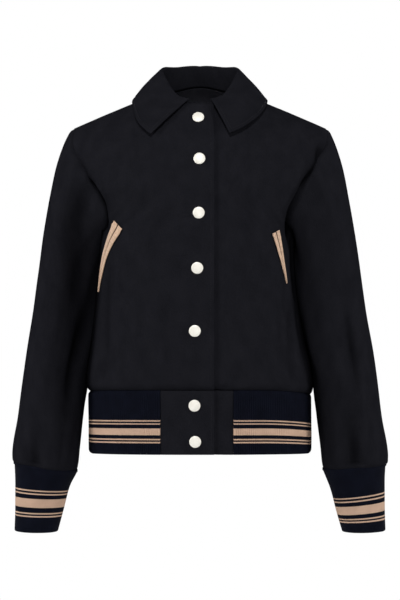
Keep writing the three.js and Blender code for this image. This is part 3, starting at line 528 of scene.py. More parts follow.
def half_back_places(side):
    along = spaced(HALF_BACK_COLUMNS, PANEL_WIDTH)
    top = top_edge(along, 180, side, True)
    levels = centre_levels(rows_up, top[0, 1])
    start = np.stack([np.full(len(levels), 2.0), levels], -1)
    end = side_edge(rows_up, True)
    end = np.stack([2 - side * end[:, 0], end[:, 1]], -1)
    bottom = np.stack([2 - side * along, -np.ones(len(along))], -1)
    return fill(bottom, top, start, end, along, rows_up)


# %% Give the panels their relief
FOLD_HOLD = 12  # folds are held flat within this distance of a seam
UNEVEN_HOLD = 16
PRESSED = {"depth": 1.1, "past edge": 1.5, "width": 2.0}  # the line that the upper front presses in
LAP_FADES = {"from edge": 2, "before tab end": 6}
FIRST_ROW, LAST_ROW = np.s_[0], np.s_[-1]
FIRST_COLUMN, LAST_COLUMN = np.s_[:, 0], np.s_[:, -1]


def lap_inset(x):
    """How far the lower front lies behind: pressed in along the edge of the upper one."""
    pressed_at = x - TOP_FRONT_EDGE - PRESSED["past edge"]
    pressed = PRESSED["depth"] * np.exp(-((pressed_at / PRESSED["width"]) ** 2))
    fade_start = TOP_FRONT_EDGE + LAP_FADES["from edge"]
    fade_end = BAND["under tab end"] - LAP_FADES["before tab end"]
    return LAP_STEP * (1 - smoothstep(x, fade_start, fade_end)) + pressed


def body_waves(flat):
    return waves(flat, 95, 0.7, 3) + waves(flat, 38, 0.16, 4)


def body_surface(turn, level, extra=0.0, lap=False):
    """A place on the finished outside of the body cloth, away from seams."""
    flat = body(turn, level)
    down = lap_inset(flat[..., 0]) if lap else 0
    return flat + outward(turn, level) * (body_waves(flat) - folds(turn, level) - down + extra)[..., None]


def body_panel(places, seams, armholes, edges, lap=False):
    """The two faces of a panel. Its folds die out towards a seam, but run into an armhole."""
    turn, level = places[..., 0], places[..., 1]
    flat = body(turn, level)
    to_plain = np.min([distance_to(flat, flat[edge]) for edge in seams], axis=0)
    to_armhole = np.min([distance_to(flat, flat[edge][ARMPIT_ROW:]) for edge in armholes], axis=0)
    to_side = np.min([distance_to(flat, flat[edge][: ARMPIT_ROW + 1]) for edge in armholes], axis=0)
    to_plain = np.minimum(to_plain, to_side)
    to_seam = np.minimum(to_plain, to_armhole)
    move = seam_relief(to_seam) + smoothstep(to_seam, 0, UNEVEN_HOLD) * body_waves(flat)
    move = move - smoothstep(to_plain, 0, FOLD_HOLD) * folds(turn, level)
    inner_move = np.zeros(move.shape)
    for edge in edges:
        near = edge_round(distance_to(flat, flat[edge]))
        move, inner_move = move + near, inner_move - near
    if lap:
        move = move - lap_inset(flat[..., 0])
    out = outward(turn, level)
    outer = flat + out * move[..., None]
    inner_move = move - CLOTH + inner_move * 0.8 - np.minimum(0, seam_relief(to_seam))
    inner = flat + out * inner_move[..., None]
    return outer, inner


right_places = front_places(-1, TOP_FRONT_EDGE)
left_places = front_places(1, UNDER_FRONT_EDGE)
back_left = half_back_places(1)
back_right = half_back_places(-1)
back_places = np.concatenate([back_left[:, ::-1], back_right[:, 1:]], 1)
ends = [FIRST_ROW, LAST_ROW]
front_right_grids = body_panel(right_places, ends, [FIRST_COLUMN], [LAST_COLUMN])
front_left_grids = body_panel(left_places, ends, [LAST_COLUMN], [FIRST_COLUMN], lap=True)
back_grids = body_panel(back_places, ends, [FIRST_COLUMN, LAST_COLUMN], [])
print("front grid", right_places.shape[:2], "back grid", back_places.shape[:2])

# %% [markdown]
# ## Brushed wool
# The cloth is a thick wool whose surface has been brushed until the weave is hidden under short
# fibres. It is almost black. What makes it look like wool rather than plastic is that it has no gloss
# at all, so its specular level is 0, and that it is mottled where the fibres lie different ways.
# Noise at three sizes gives fibres, nap and mottling. Deep in a fold the colour is made darker, as
# painted shade: the fronts, the back and the sleeves carry a value worked out from the depth of their
# folds. The inner faces of the fronts and the back get the same material in lighter colours: painted
# light, standing in for the light that reaches the inside through the neck.

# %% Wool material
def new_material(name, roughness):
    material = bpy.data.materials.new(name)
    material.use_nodes = True
    nodes = material.node_tree.nodes
    nodes.clear()
    shader = nodes.new("ShaderNodeBsdfPrincipled")
    output = nodes.new("ShaderNodeOutputMaterial")
    material.node_tree.links.new(shader.outputs[0], output.inputs[0])
    shader.inputs["Roughness"].default_value = roughness
    return material, nodes, material.node_tree.links, shader


def cloth_map(nodes):
    node = nodes.new("ShaderNodeUVMap")
    node.uv_map = "cloth"
    return node.outputs[0]


def scaled(nodes, links, vector, scale):
    node = nodes.new("ShaderNodeMapping")
    node.inputs["Scale"].default_value = scale
    links.new(vector, node.inputs[0])
    return node.outputs[0]


def noise(nodes, links, vector, scale, detail=3.0, roughness=0.55):
    node = nodes.new("ShaderNodeTexNoise")
    node.inputs["Scale"].default_value = scale
    node.inputs["Detail"].default_value = detail
    node.inputs["Roughness"].default_value = roughness
    links.new(vector, node.inputs["Vector"])
    return node.outputs[0]


def math_node(nodes, links, kind, first, second=None, third=None):
    node = nodes.new("ShaderNodeMath")
    node.operation = kind
    for socket, value in zip(node.inputs, (first, second, third)):
        if value is None:
            continue
        if isinstance(value, (int, float)):
            socket.default_value = value
        else:
            links.new(value, socket)
    return node.outputs[0]


def ramp(nodes, links, value, stops):
    node = nodes.new("ShaderNodeValToRGB")
    elements = node.color_ramp.elements
    while len(elements) < len(stops):
        elements.new(0.5)
    for element, (place, colour) in zip(elements, stops):
        element.position = place
        element.color = (*colour, 1)
    links.new(value, node.inputs[0])
    return node.outputs[0]


def add_bump(nodes, links, shader, height, distance, strength=1.0):
    node = nodes.new("ShaderNodeBump")
    node.inputs["Strength"].default_value = strength
    node.inputs["Distance"].default_value = distance
    links.new(height, node.inputs["Height"])
    links.new(node.outputs[0], shader.inputs["Normal"])


# %% The wool and its back
# Painted shade: in folds the wool's colour is darkened, by this share where a fold is deepest
PAINTED_SHADE_STRENGTH = 0.65
PAINTED_SHADE_FROM, PAINTED_SHADE_FULL = 1, 12  # depth of a fold in millimetres


def painted_shade_share(depth):
    return smoothstep(depth, PAINTED_SHADE_FROM, PAINTED_SHADE_FULL)


def wool_material(name, dark, light):
    material, nodes, links, shader = new_material(name, 0.92)
    cloth = cloth_map(nodes)
    fibres = noise(nodes, links, scaled(nodes, links, cloth, (2600, 700, 1)), 1.0, 4)
    nap = noise(nodes, links, scaled(nodes, links, cloth, (420, 300, 1)), 1.0, 5, 0.65)
    mottle = noise(nodes, links, scaled(nodes, links, cloth, (45, 30, 1)), 1.0, 4)
    half_mottle = math_node(nodes, links, "MULTIPLY", mottle, 0.5)
    mixed = math_node(nodes, links, "MULTIPLY_ADD", nap, 0.5, half_mottle)
    colour = ramp(nodes, links, mixed, [(0.32, dark), (0.7, light)])
    # Painted shade: the colour is darkened by the fold depth share that the piece carries
    painted_fold_shade = nodes.new("ShaderNodeAttribute")
    painted_fold_shade.attribute_name = "painted_fold_shade"
    painted_shade_factor = math_node(nodes, links, "MULTIPLY_ADD", painted_fold_shade.outputs["Fac"], -PAINTED_SHADE_STRENGTH, 1.0)
    darkened = nodes.new("ShaderNodeVectorMath")
    darkened.operation = "SCALE"
    links.new(colour, darkened.inputs[0])
    links.new(painted_shade_factor, darkened.inputs["Scale"])
    links.new(darkened.outputs[0], shader.inputs["Base Color"])
    links.new(math_node(nodes, links, "MULTIPLY_ADD", nap, 0.12, 0.84), shader.inputs["Roughness"])
    height = math_node(nodes, links, "MULTIPLY_ADD", fibres, 0.45, nap)
    add_bump(nodes, links, shader, height, 0.0009, 0.6)
    shader.inputs["Specular IOR Level"].default_value = 0.0
    return material


wool = wool_material("brushed wool", (0.0058, 0.0059, 0.0076), (0.0103, 0.0103, 0.0130))
# Painted light: the same wool in lighter colours for the inner faces, standing in for the light that reaches
# the inside through the neck
wool_inside_lightened = wool_material("inside of the wool with painted light", (0.034, 0.0345, 0.043), (0.058, 0.058, 0.071))
print("made", wool.name, "and", wool_inside_lightened.name)

# %% Sew the fronts and the back into pieces
def sewn_panel(node, places, grids):
    # Painted shade: the depth of the folds darkens the wool's colour there
    painted_fold_shade = painted_shade_share(folds(places[..., 0], places[..., 1]))
    panel = shell(node + "_cloth", *grids, painted_fold_shade=painted_fold_shade)
    # Painted light: the inner faces take the lightened copy of the wool
    return finish_piece(panel, [node], wool, wool_inside_lightened)


front_right = sewn_panel("front_right", right_places, front_right_grids)
front_left = sewn_panel("front_left", left_places, front_left_grids)
back = sewn_panel("back", back_places, back_grids)

# %% [markdown]
# ## Sleeves
# A sleeve is a tube whose top edge is sewn all round the armhole. It leaves the seam slanting down
# and outwards, then hangs as a slightly flattened tube that narrows to the wrist. Blending from the
# armhole's loop to the first ring of the arm, with a chosen direction at both ends, gives the full
# curve of a sleeve head. Where the sleeve would enter the body it is moved out to lie against it.
# Two tables place its folds: large ones that the plain solid has too, and the creases between them.

# %% Measures of the sleeves
SLEEVE = {
    "z": [-285, -326, -386, -446, -506, -544, -560, -570.5, -576.5],
    "outer": [239.5, 245, 254, 263, 271.5, 278, 279.5, 279, 273.5],
    "inner": [137.5, 142, 154.5, 169.5, 175, 180, 181.5, 183.5, 186.5],
    "middle": [4, 2, -4, -10, -15, -18, -19, -20, -20],
    "depth": [71, 70, 67, 63, 59, 57, 56, 52, 43],
    "right tilt": [0, 0, 0.02, 0.05, 0.09, 0.125, 0.14, 0.145, 0.145],
    "left tilt": [0, 0, 0.02, 0.04, 0.06, 0.08, 0.085, 0.085, 0.085],
    "own": [1, 1, 0.9, 0.6, 0.25, 0.05, 0, 0, 0],
}
CUFF = {
    "z": [-576.5, -600, -636, -668.8],
    "outer": [273.5, 272.5, 272.5, 273.5],
    "inner": [186.5, 196.5, 205.5, 214.2],
    "middle": [-20, -20, -21, -22],
    "depth": [43, 38, 34, 31],
    "right tilt": [0.145, 0.07, 0.02, 0.015],
    "left tilt": [0.085, 0.14, 0.1, 0.02],
    "own": [0, 0, 0, 0],
}
SLEEVE_TOP, SLEEVE_END, CUFF_END = SLEEVE["z"][0], SLEEVE["z"][-1], CUFF["z"][-1]
# How far the front-most line of each sleeve is turned outwards, in degrees, and how square it is
OWN_SHAPE = {-1: {"turned": 30, "corner": 2.2}, 1: {"turned": 4, "corner": 3}}
ARM_CLEARANCE = 0.4
TUCK = 1.3  # the sleeve's top row lies this far inside the armhole
print("arm", round(SLEEVE_TOP - SLEEVE_END, 1), "mm, cuff", round(SLEEVE_END - CUFF_END, 1), "mm")

# %% Folds of the sleeves
# Each row: side, angle from the outer side towards the front, heights of its top, deepest place and
# end, depth (a ridge is negative), spread in degrees, and how many degrees it wanders on its way.
SLEEVE_FOLDS = [
    (-1, 73, -470, -566, -582, 8, 18, 0),
    (-1, 250, -490, -566, -582, 7, 18, 0),
    (1, 95, -430, -566, -582, 9, 18, 0),
    (1, 262, -490, -566, -582, 7, 18, 0),
    (-1, 104, -160, -310, -480, 6, 16, 0),
    (1, 80, -280, -400, -500, 4, 14, 0),
    (-1, 285, -180, -350, -500, 4, 22, 0),
    (1, 280, -200, -330, -480, 4, 22, 0),
]
SLEEVE_CREASES = [
    (-1, 38, -190, -300, -420, -1.5, 8, 6),
    (-1, 36, -400, -500, -575, -1.2, 8, -4),
    (-1, 84, -85, -195, -300, 10.0, 19, 0),
    (-1, 92, -190, -290, -400, 7.0, 12, 3),
    (-1, 122, -300, -400, -570, 9.0, 14, 3),
    (-1, 130, -200, -330, -570, 9.0, 24, 0),
    (-1, 74, -330, -430, -560, -1.5, 13, 0),
    (1, 146, -150, -225, -310, 7.0, 22, 0),
    (1, 136, -270, -420, -560, -6.5, 20, 0),
    (1, 180, -400, -462, -500, -2.6, 30, 0),
    (-1, 180, -420, -462, -490, -1.4, 30, 0),
    (-1, 40, -380, -470, -560, 1.1, 10, 10),
    (-1, 132, -200, -250, -330, 2.2, 9, -26),
    (-1, 150, -215, -290, -380, -1.8, 9, -30),
    (-1, 200, -260, -380, -520, 1.2, 13, 16),
    (-1, 320, -150, -260, -400, 1.4, 13, -14),
    (-1, 20, -470, -552, -580, 1.8, 9, -5),
    (-1, 52, -500, -560, -582, 2.2, 6, 3),
    (-1, 118, -500, -560, -582, 2.6, 7, 6),
    (-1, 140, -440, -530, -582, 1.6, 9, 6),
    (-1, 215, -500, -560, -582, 2.2, 8, -6),
    (-1, 310, -480, -560, -582, 2.2, 9, 6),
    (1, 83, -290, -400, -490, 4.0, 7, -5),
    (1, 70, -390, -480, -570, -3.0, 7, -4),
    (1, 57, -400, -520, -582, 4.2, 8, 3),
    (1, 110, -250, -350, -460, 1.0, 13, 10),
    (1, 45, -350, -450, -540, 1.2, 10, -10),
    (1, 205, -270, -390, -520, 1.2, 13, -16),
    (1, 325, -150, -270, -410, 1.4, 13, 14),
    (1, 38, -490, -556, -582, 2.0, 7, 5),
    (1, 122, -500, -560, -582, 2.2, 8, -6),
    (1, 220, -500, -560, -582, 2.2, 8, 6),
    (1, 315, -480, -560, -582, 2.2, 9, -6),
]
print("large folds:", len(SLEEVE_FOLDS), "creases:", len(SLEEVE_CREASES))


# %% Rings of an arm, and the armhole it starts from
def arm_ring(table, z, turned, side):
    """Points of a sleeve or cuff: angle 0 is its outer side and 90 degrees its front."""
    outer, inner = read(table, "z", "outer", z), read(table, "z", "inner", z)
    own, tilt = read(table, "z", "own", z), read(table, "z", "right tilt" if side < 0 else "left tilt", z)
    squared = 2 / (2 + (OWN_SHAPE[side]["corner"] - 2) * own)
    front = turned + np.radians(OWN_SHAPE[side]["turned"]) * own
    half = (outer - inner) / 2
    x = inner + half + half * np.sign(np.cos(turned)) * np.abs(np.cos(turned)) ** squared
    reach = np.sign(np.sin(front)) * np.abs(np.sin(front)) ** squared
    y = read(table, "z", "middle", z) - read(table, "z", "depth", z) * reach
    return np.stack([x, y, z + tilt * half * np.cos(turned)], -1)


def armhole_loop(turned, side):
    """The armhole seam, seen as if on the wearer's left: angle 0 is the shoulder, 180 the armpit."""
    share = np.abs(1 - turned / np.pi)
    at_back = turned > np.pi
    out = np.where(at_back, read(ARMHOLE, "share", "back", share), read(ARMHOLE, "share", "front", share))
    turn = np.where(at_back, 2 - side * out, side * out)
    level = read(ARMHOLE, "share", "level", share)
    seam = body(turn, level)
    ends = np.array([body(side * read(ARMHOLE, "share", "front", 1.0), 1.0), body(side, 0.0)])
    to_end = np.linalg.norm(seam[:, None] - ends[None], axis=-1).min(1)
    pressed = smoothstep(to_end, 0, FOLD_HOLD) * folds(turn, level)
    return (seam - outward(turn, level) * pressed[:, None]) * [side, 1, 1]


def clear_of_body(points, side):
    """Points of a sleeve, moved sideways where they would lie inside the body."""
    below = ARMPIT_Z - points[..., 2]
    level = np.clip(-below / (ARMPIT_Z - HEM_Z), -1, 0)
    gap = ARM_CLEARANCE
    x, y = np.abs(points[..., 0]), np.abs(points[..., 1])
    half = read(BODY, "level", "right" if side < 0 else "left", level) + gap
    in_front = points[..., 1] < 0
    reach = np.where(in_front, read(BODY, "level", "front", level), read(BODY, "level", "back", level)) + gap
    across = half * np.maximum(0, 1 - (y / reach) ** CORNER) ** (1 / CORNER)
    pushed = points.copy()
    pushed[..., 0] = np.where((below > 0) & (x < across), across, points[..., 0])
    return pushed


CREASE_SIDES = {"share": 0.35, "width": 2.2}  # the raised cloth on both sides of a crease
WANDER = 2.6


def along_fold(z, top, deepest, end):
    """0 at both ends of a fold and 1 at its deepest place."""
    down = np.where(z > deepest, (z - top) / (deepest - top), (z - end) / (deepest - end))
    return smoothstep(down, 0, 1)


def sleeve_fold_depth(z, degrees, side):
    depth = 0
    for fold_side, angle, top, deepest, end, full, spread, _ in SLEEVE_FOLDS:
        if fold_side == side:
            across = np.exp(-(((degrees - angle) / spread) ** 2))
            depth = np.maximum(depth, full * across * along_fold(z, top, deepest, end))
    for fold_side, angle, top, deepest, end, full, spread, wander in SLEEVE_CREASES:
        if fold_side == side:
            centre = angle + wander * np.sin((z - top) / (end - top) * WANDER)
            off = np.mod(degrees - centre + 180, 360) - 180
            raised = CREASE_SIDES["share"] * np.exp(-((off / (CREASE_SIDES["width"] * spread)) ** 2))
            across = np.exp(-((off / spread) ** 2)) - raised
            depth = depth + full * across * along_fold(z, top, deepest, end)
    return depth


# %% Loft a sleeve
SLEEVE_COLUMNS = 168
HEAD_LENGTH, HEAD_ROWS = 150, 56
HEAD_NEAR_SEAM = np.array([0, 0.5, 1.1, 1.9, 2.9, 4.2])
HEAD_FLARE, HEAD_DROP = 0.25, 0.8  # how much the head opens and falls as it leaves the seam
HEAD_PULL = {"leaving": 0.45, "arriving": 0.95}
# Rows of the arm below the head, in millimetres: closer where it is gathered, closest at its end
ARM_DOWN = np.concatenate([np.arange(0, 275, 2.8), np.arange(275, 290, 1.5), [290.3, 290.9, 291.5]])
EASED_FROM, EASED_TO = 30, -8  # rows that are smoothed, from inside the head to near the end
ARM_HOLD, ARM_END_HOLD = 22, 7


def sleeve_head(loop, centre, slant, turned, side):
    """Rows from the armhole's loop to the first ring of the arm."""
    away = np.array([slant[2], 0, -slant[0]])
    leaving = unit(away + HEAD_FLARE * unit(loop - centre) + [0, 0, -HEAD_DROP])
    upper_arm = arm_ring(SLEEVE, SLEEVE_TOP, turned, side)
    arriving = unit(arm_ring(SLEEVE, SLEEVE_TOP - 10, turned, side) - upper_arm)
    start = loop - leaving * TUCK
    distance = np.linalg.norm(start - upper_arm, axis=-1, keepdims=True)
    even = np.linspace(6 / HEAD_LENGTH, 1, HEAD_ROWS)[:-1]
    t = np.concatenate([HEAD_NEAR_SEAM / HEAD_LENGTH, even])[:, None, None]
    head = start * (1 + 2 * t) * (1 - t) ** 2 + upper_arm * t * t * (3 - 2 * t)
    head = head + leaving * HEAD_PULL["leaving"] * distance * t * (1 - t) ** 2
    return head + arriving * HEAD_PULL["arriving"] * distance * t * t * (t - 1)


def sleeve_grids(side):
    turned = np.linspace(0, 2 * np.pi, SLEEVE_COLUMNS, endpoint=False)
    loop = armhole_loop(turned, side)
    coarse = armhole_loop(np.linspace(0, 2 * np.pi, 22, endpoint=False), side)
    slant = unit(coarse[0] - coarse[11])
    head = sleeve_head(loop, coarse.mean(0), slant, turned, side)
    heights = SLEEVE_TOP - ARM_DOWN
    arm = arm_ring(SLEEVE, heights[:, None], turned[None], side)
    grid = np.concatenate([head, arm])
    for _ in range(6):
        middle = (grid[:-2] + 2 * grid[1:-1] + grid[2:]) / 4
        grid[EASED_FROM:EASED_TO] = middle[EASED_FROM - 1 : EASED_TO + 1]
    degrees = np.degrees(turned)[None]
    to_seam = distance_to(grid, np.concatenate([loop, loop[:1]]))
    to_end = np.abs(grid[..., 2] - grid[-1][None, :, 2])
    calm = smoothstep(to_seam, 0, ARM_HOLD)
    uneven = waves(grid * [side, 1, 1], 90, 0.8, 5) + waves(grid, 36, 0.18, 6)
    at_end = smoothstep(to_end, 0, ARM_END_HOLD)
    tucked = -0.9 * np.exp(-((np.arange(len(grid))[:, None] / 2.5) ** 2))
    move = seam_relief(to_seam) + tucked
    depth = sleeve_fold_depth(grid[..., 2], degrees, side)
    move = move + at_end * calm * (uneven - depth)
    # Painted shade: the depth of the sleeve's folds darkens the wool's colour there
    painted_fold_shade = painted_shade_share(depth)
    outer = clear_of_body(grid + grid_normals(grid, True) * move[..., None], side)
    inner = outer - grid_normals(outer, True) * CLOTH
    inner[0] = outer[0] - unit(outer[0] - coarse.mean(0)) * CLOTH * 0.8
    if side < 0:
        outer, inner = outer[:, ::-1] * [-1, 1, 1], inner[:, ::-1] * [-1, 1, 1]
        painted_fold_shade = painted_fold_shade[:, ::-1]
    return outer, inner, painted_fold_shade


for side, key in ((-1, "right"), (1, "left")):
    outer, inner, painted_fold_shade = sleeve_grids(side)
    sleeve = shell(f"sleeve_{key}_cloth", outer, inner, ring=True, painted_fold_shade=painted_fold_shade)
    piece = finish_piece(sleeve, [f"sleeve_{key}"], wool)

# %% [markdown]
# ## Knitted bands
# Hem band and cuffs are rib knit: columns of stitches that stand up as ribs, with a narrow groove
# between. The band is folded double, so its lower edge is round. The ribs are in the mesh, six
# columns of points for each, while the single stitches are small enough for a bump. The stripes are
# knitted in, so their edges follow the slanted legs of the stitches.

# %% Rib knit material
STITCH = 1.45 * MM
LEG_SLANT = 1.3  # how steeply the legs of a stitch rise away from the middle of its rib
STRIPE_JAG, STRIPE_LIFT = 0.9 * MM, 0.2 * MM  # a stripe's edge follows the legs
NAVY = (0.0037, 0.0046, 0.0098)
NAVY_DEEP = (0.0026, 0.0032, 0.0068)
BEIGE = (0.56, 0.38, 0.275)


def stripes(nodes, links, height, bands):
    """1 where a height lies in one of the bands, each given by its lower and upper edge in mm."""
    total = None
    for low, high in bands:
        centre, half = (low + high) / 2 * MM, (high - low) / 2 * MM
        inside = math_node(nodes, links, "COMPARE", height, centre, half)
        total = inside if total is None else math_node(nodes, links, "MAXIMUM", total, inside)
    return total


def knit_material(name, bands):
    material, nodes, links, shader = new_material(name, 0.9)
    cloth = cloth_map(nodes)
    split = nodes.new("ShaderNodeSeparateXYZ")
    links.new(cloth, split.inputs[0])
    across, up = split.outputs[0], split.outputs[1]
    phase = math_node(nodes, links, "FRACT", math_node(nodes, links, "DIVIDE", across, RIB["pitch"] * MM))
    legs = math_node(nodes, links, "ABSOLUTE", math_node(nodes, links, "SUBTRACT", phase, 0.5))
    course = math_node(nodes, links, "DIVIDE", up, STITCH)
    slanted = math_node(nodes, links, "MULTIPLY_ADD", legs, -LEG_SLANT, course)
    stitch = math_node(nodes, links, "SINE", math_node(nodes, links, "MULTIPLY", slanted, 2 * np.pi))
    lifted = math_node(nodes, links, "ADD", up, STRIPE_LIFT)
    row_height = math_node(nodes, links, "MULTIPLY_ADD", legs, -STRIPE_JAG, lifted)
    fuzz = noise(nodes, links, scaled(nodes, links, cloth, (3000, 3000, 1)), 1.0, 3)
    patchy = noise(nodes, links, scaled(nodes, links, cloth, (60, 60, 1)), 1.0, 3)
    plain = ramp(nodes, links, patchy, [(0.3, NAVY_DEEP), (0.7, NAVY)])
    pale = ramp(nodes, links, patchy, [(0.3, tuple(0.86 * v for v in BEIGE)), (0.7, BEIGE)])
    mix = nodes.new("ShaderNodeMix")
    mix.data_type = "RGBA"
    links.new(stripes(nodes, links, row_height, bands), mix.inputs["Factor"])
    links.new(plain, mix.inputs["A"])
    links.new(pale, mix.inputs["B"])
    shade = nodes.new("ShaderNodeMix")
    shade.data_type = "RGBA"
    shade.blend_type = "MULTIPLY"
    links.new(math_node(nodes, links, "MULTIPLY_ADD", stitch, -0.18, 0.2), shade.inputs["Factor"])
    links.new(mix.outputs["Result"], shade.inputs["A"])
    shade.inputs["B"].default_value = (0.35, 0.35, 0.38, 1)
    links.new(shade.outputs["Result"], shader.inputs["Base Color"])
    height = math_node(nodes, links, "MULTIPLY_ADD", fuzz, 0.5, stitch)
    add_bump(nodes, links, shader, height, 0.00025, 0.8)
    shader.inputs["Specular IOR Level"].default_value = 0.04
    return material


# Heights of the stripes above the lower edge, in millimetres
BAND_STRIPES = [(16.7, 18.7), (21.1, 23.0), (28.3, 38.0), (43.6, 45.4), (47.9, 49.9)]
CUFF_STRIPES = {
    -1: [(23.2, 25.3), (27.7, 29.7), (37.3, 50.3), (56.4, 58.4), (61.2, 63.2)],
    1: [(15.6, 17.7), (20.0, 22.0), (28.0, 40.6), (46.8, 48.8), (52.0, 54.0)],
}
band_knit = knit_material("striped rib knit of the hem band", BAND_STRIPES)
cuff_knits = {side: knit_material("striped rib knit of a cuff", CUFF_STRIPES[side]) for side in (-1, 1)}

# %% Hem band
RIB_PROFILE = np.array([0.0, 0.62, 0.93, 1.0, 0.93, 0.62]) * RIB["height"]
RIB_COLUMNS = len(RIB_PROFILE)
SIDE_ROUNDING = 7  # the band's lower corners at both sides
KNIT_EDGE = 1.8  # radius of the folded lower edge
BEHIND = {"depth": 1.6, "within": 0.9}
SEAM_PULL = {"depth": 1.0, "width": 2.2}


def even_turns(from_turn, to_turn, parts):
    turns = np.linspace(from_turn, to_turn, 1201)
    line = body(turns, -1)
    at = np.concatenate([[0], np.cumsum(np.linalg.norm(np.diff(line, axis=0), axis=-1))])
    return at[-1], np.interp(np.linspace(0, at[-1], parts + 1), at, turns)


def band_points(turns, down):
    """Points of the band: down is 0 at its seam, 1 at its lower edge and below 0 where tucked in."""
    points = np.repeat(body(turns, -1)[None], len(down), 0)
    points[..., 2] -= SEAM_GAP + down[:, None] * (BAND["height"] - hem_drop(turns))
    half = np.where(points[..., 0] < 0, BODY["right"][0], BODY["left"][0])
    past = np.clip(np.abs(points[..., 0]) - half + SIDE_ROUNDING, 0, SIDE_ROUNDING)
    lift = SIDE_ROUNDING - np.sqrt(SIDE_ROUNDING**2 - past**2)
    points[..., 2] += lift * np.clip(down[:, None], 0, 1) ** 6
    return points


def behind(to_top):
    """How far the cloth above a seam lies inside: it goes up behind the piece it is sewn to."""
    return -BEHIND["depth"] * smoothstep(-to_top, 0, BEHIND["within"])


def tucked(to_top):
    """The same, with the cloth pulled in on its way up to the seam."""
    pulled = -SEAM_PULL["depth"] * np.exp(-((np.maximum(to_top, 0) / SEAM_PULL["width"]) ** 2))
    return pulled + behind(to_top)


def hem_band():
    first = float(turn_at(BAND["under tab end"] + SEAM_GAP, -1.0))
    last = 4 + float(turn_at(BAND["top tab end"] - SEAM_GAP, -1.0))
    length, _ = even_turns(first, last, 1)
    ribs = round(length / RIB["pitch"] / 4) * 4
    down = np.array([1, 0.994, 0.985, 0.97, *np.linspace(0.93, 0.06, 16), 0.03, 0.012, 0, -0.008, -0.022])
    turns = even_turns(first, last, ribs * RIB_COLUMNS)[1]
    plain = band_points(turns, down)
    to_top, to_bottom = down * BAND["height"], (1 - down) * BAND["height"]
    rounded = edge_round(to_bottom, KNIT_EDGE)
    swell = 0.5 * np.sin(np.pi * np.clip(down, 0, 1)) ** 0.8
    slow = waves(plain, 70, 0.45, 8, (1, 1, 0.3)) + waves(plain, 30, 0.16, 9, (1, 1, 0.5))
    ribs_up = np.append(np.tile(RIB_PROFILE, ribs), RIB_PROFILE[0])
    keep = smoothstep(to_top, 0, 4)[:, None]
    normal = grid_normals(plain)
    move = (tucked(to_top) + rounded + swell)[:, None] + ribs_up * (0.45 + 0.55 * keep) + slow * keep
    outer = plain + normal * move[..., None]
    inner_turns = even_turns(first, last, ribs)[1]
    inner_plain = band_points(inner_turns, down)
    back_move = -BAND["thickness"] + swell - rounded * 0.8 + behind(to_top)
    inner = inner_plain + grid_normals(inner_plain) * back_move[:, None, None]
    flat = np.zeros(outer.shape[:2] + (2,))
    flat[..., 0] = np.arange(outer.shape[1]) / RIB_COLUMNS * RIB["pitch"] * MM
    flat[..., 1] = (to_bottom[:, None] + 0.6 * hem_drop(turns)) * MM
    print("ribs round the hem:", ribs, "over", round(length), "mm")
    return shell("hem_band_knit", outer, inner, flat=flat)


band = finish_piece(hem_band(), ["hem_band"], band_knit)

# %% Cuffs
CUFF_RIBS = 68


def cuff(side, key):
    length = SLEEVE_END - CUFF_END
    to_bottom = np.array([0, 0.7, 1.6, 3, *np.linspace(6, length - 6, 20)])
    to_bottom = np.concatenate([to_bottom, length - np.array([3, 1.2, 0, -0.8, -2.2])])
    z, to_top = CUFF_END + to_bottom, length - to_bottom
    turned = np.linspace(0, 2 * np.pi, CUFF_RIBS * RIB_COLUMNS, endpoint=False)
    plain = arm_ring(CUFF, z[:, None], turned[None], side)
    plain[..., 2] += np.maximum(-to_top, 0)[:, None]
    plain[..., 2] -= SEAM_GAP
    if side < 0:
        plain = plain[:, ::-1] * [-1, 1, 1]
    keep = smoothstep(to_top, 0, 5)
    rounded = edge_round(to_bottom, KNIT_EDGE)
    move = tucked(to_top) + rounded
    slow = waves(plain, 48, 0.5, 11, (1, 1, 0.35))
    ribs_up = np.tile(RIB_PROFILE, CUFF_RIBS) * (0.4 + 0.6 * keep[:, None])
    move = move[:, None] + ribs_up + slow * keep[:, None]
    normal = grid_normals(plain, True)
    outer = plain + normal * move[..., None]
    back_move = -BAND["thickness"] - 0.8 * rounded + behind(to_top)
    inner = (plain + normal * back_move[:, None, None])[:, ::RIB_COLUMNS]
    flat = np.zeros((len(z), outer.shape[1] + 1, 2))
    flat[..., 0] = np.arange(outer.shape[1] + 1) / RIB_COLUMNS * RIB["pitch"] * MM
    flat[..., 1] = to_bottom[:, None] * MM
    piece = shell(f"cuff_{key}_knit", outer, inner, ring=True, flat=flat)
    finish_piece(piece, [f"cuff_{key}"], cuff_knits[side])


cuff(-1, "right")
cuff(1, "left")


# %% [markdown]
# ## Tabs that close the band
# At the centre front the knit ends at a plain tab of the jacket's own wool on each side, so that the
# snaps have firm cloth to hold. A tab is a flat rectangle that follows the curve of the band. Its
# free edges are rounded, because the cloth is turned in there.

# %% Hem tabs
def hem_tab(name, from_x, to_x, lap):
    turns = np.interp(spaced(34, to_x - from_x), [0, 1], [turn_at(from_x, -1.0), turn_at(to_x, -1.0)])
    down = np.append(1 - spaced(36, BAND["height"]), [-0.008, -0.022])
    plain = band_points(turns, down)
    to_seam = (down * BAND["height"])[:, None] + np.zeros(len(turns))
    x = plain[..., 0]
    to_side = np.minimum(x - from_x, to_x - x)
    to_edge = np.minimum(to_side, ((1 - down) * BAND["height"])[:, None])
    rounded = edge_round(to_edge)
    uneven = waves(plain, 45, 0.3, 12)
    inset = lap_inset(x) if lap else 0
    above_seam = tucked(down * BAND["height"]) * (down <= 0)
    move = 0.6 * seam_relief(np.abs(to_seam)) + rounded + uneven * smoothstep(to_seam, 0, 10) - inset
    move = move + above_seam[:, None]
    normal = grid_normals(plain)
    outer = plain + normal * move[..., None]
    inner = plain + normal * (move - CLOTH - 1.8 * rounded)[..., None]
    return shell(name, outer, inner), outer


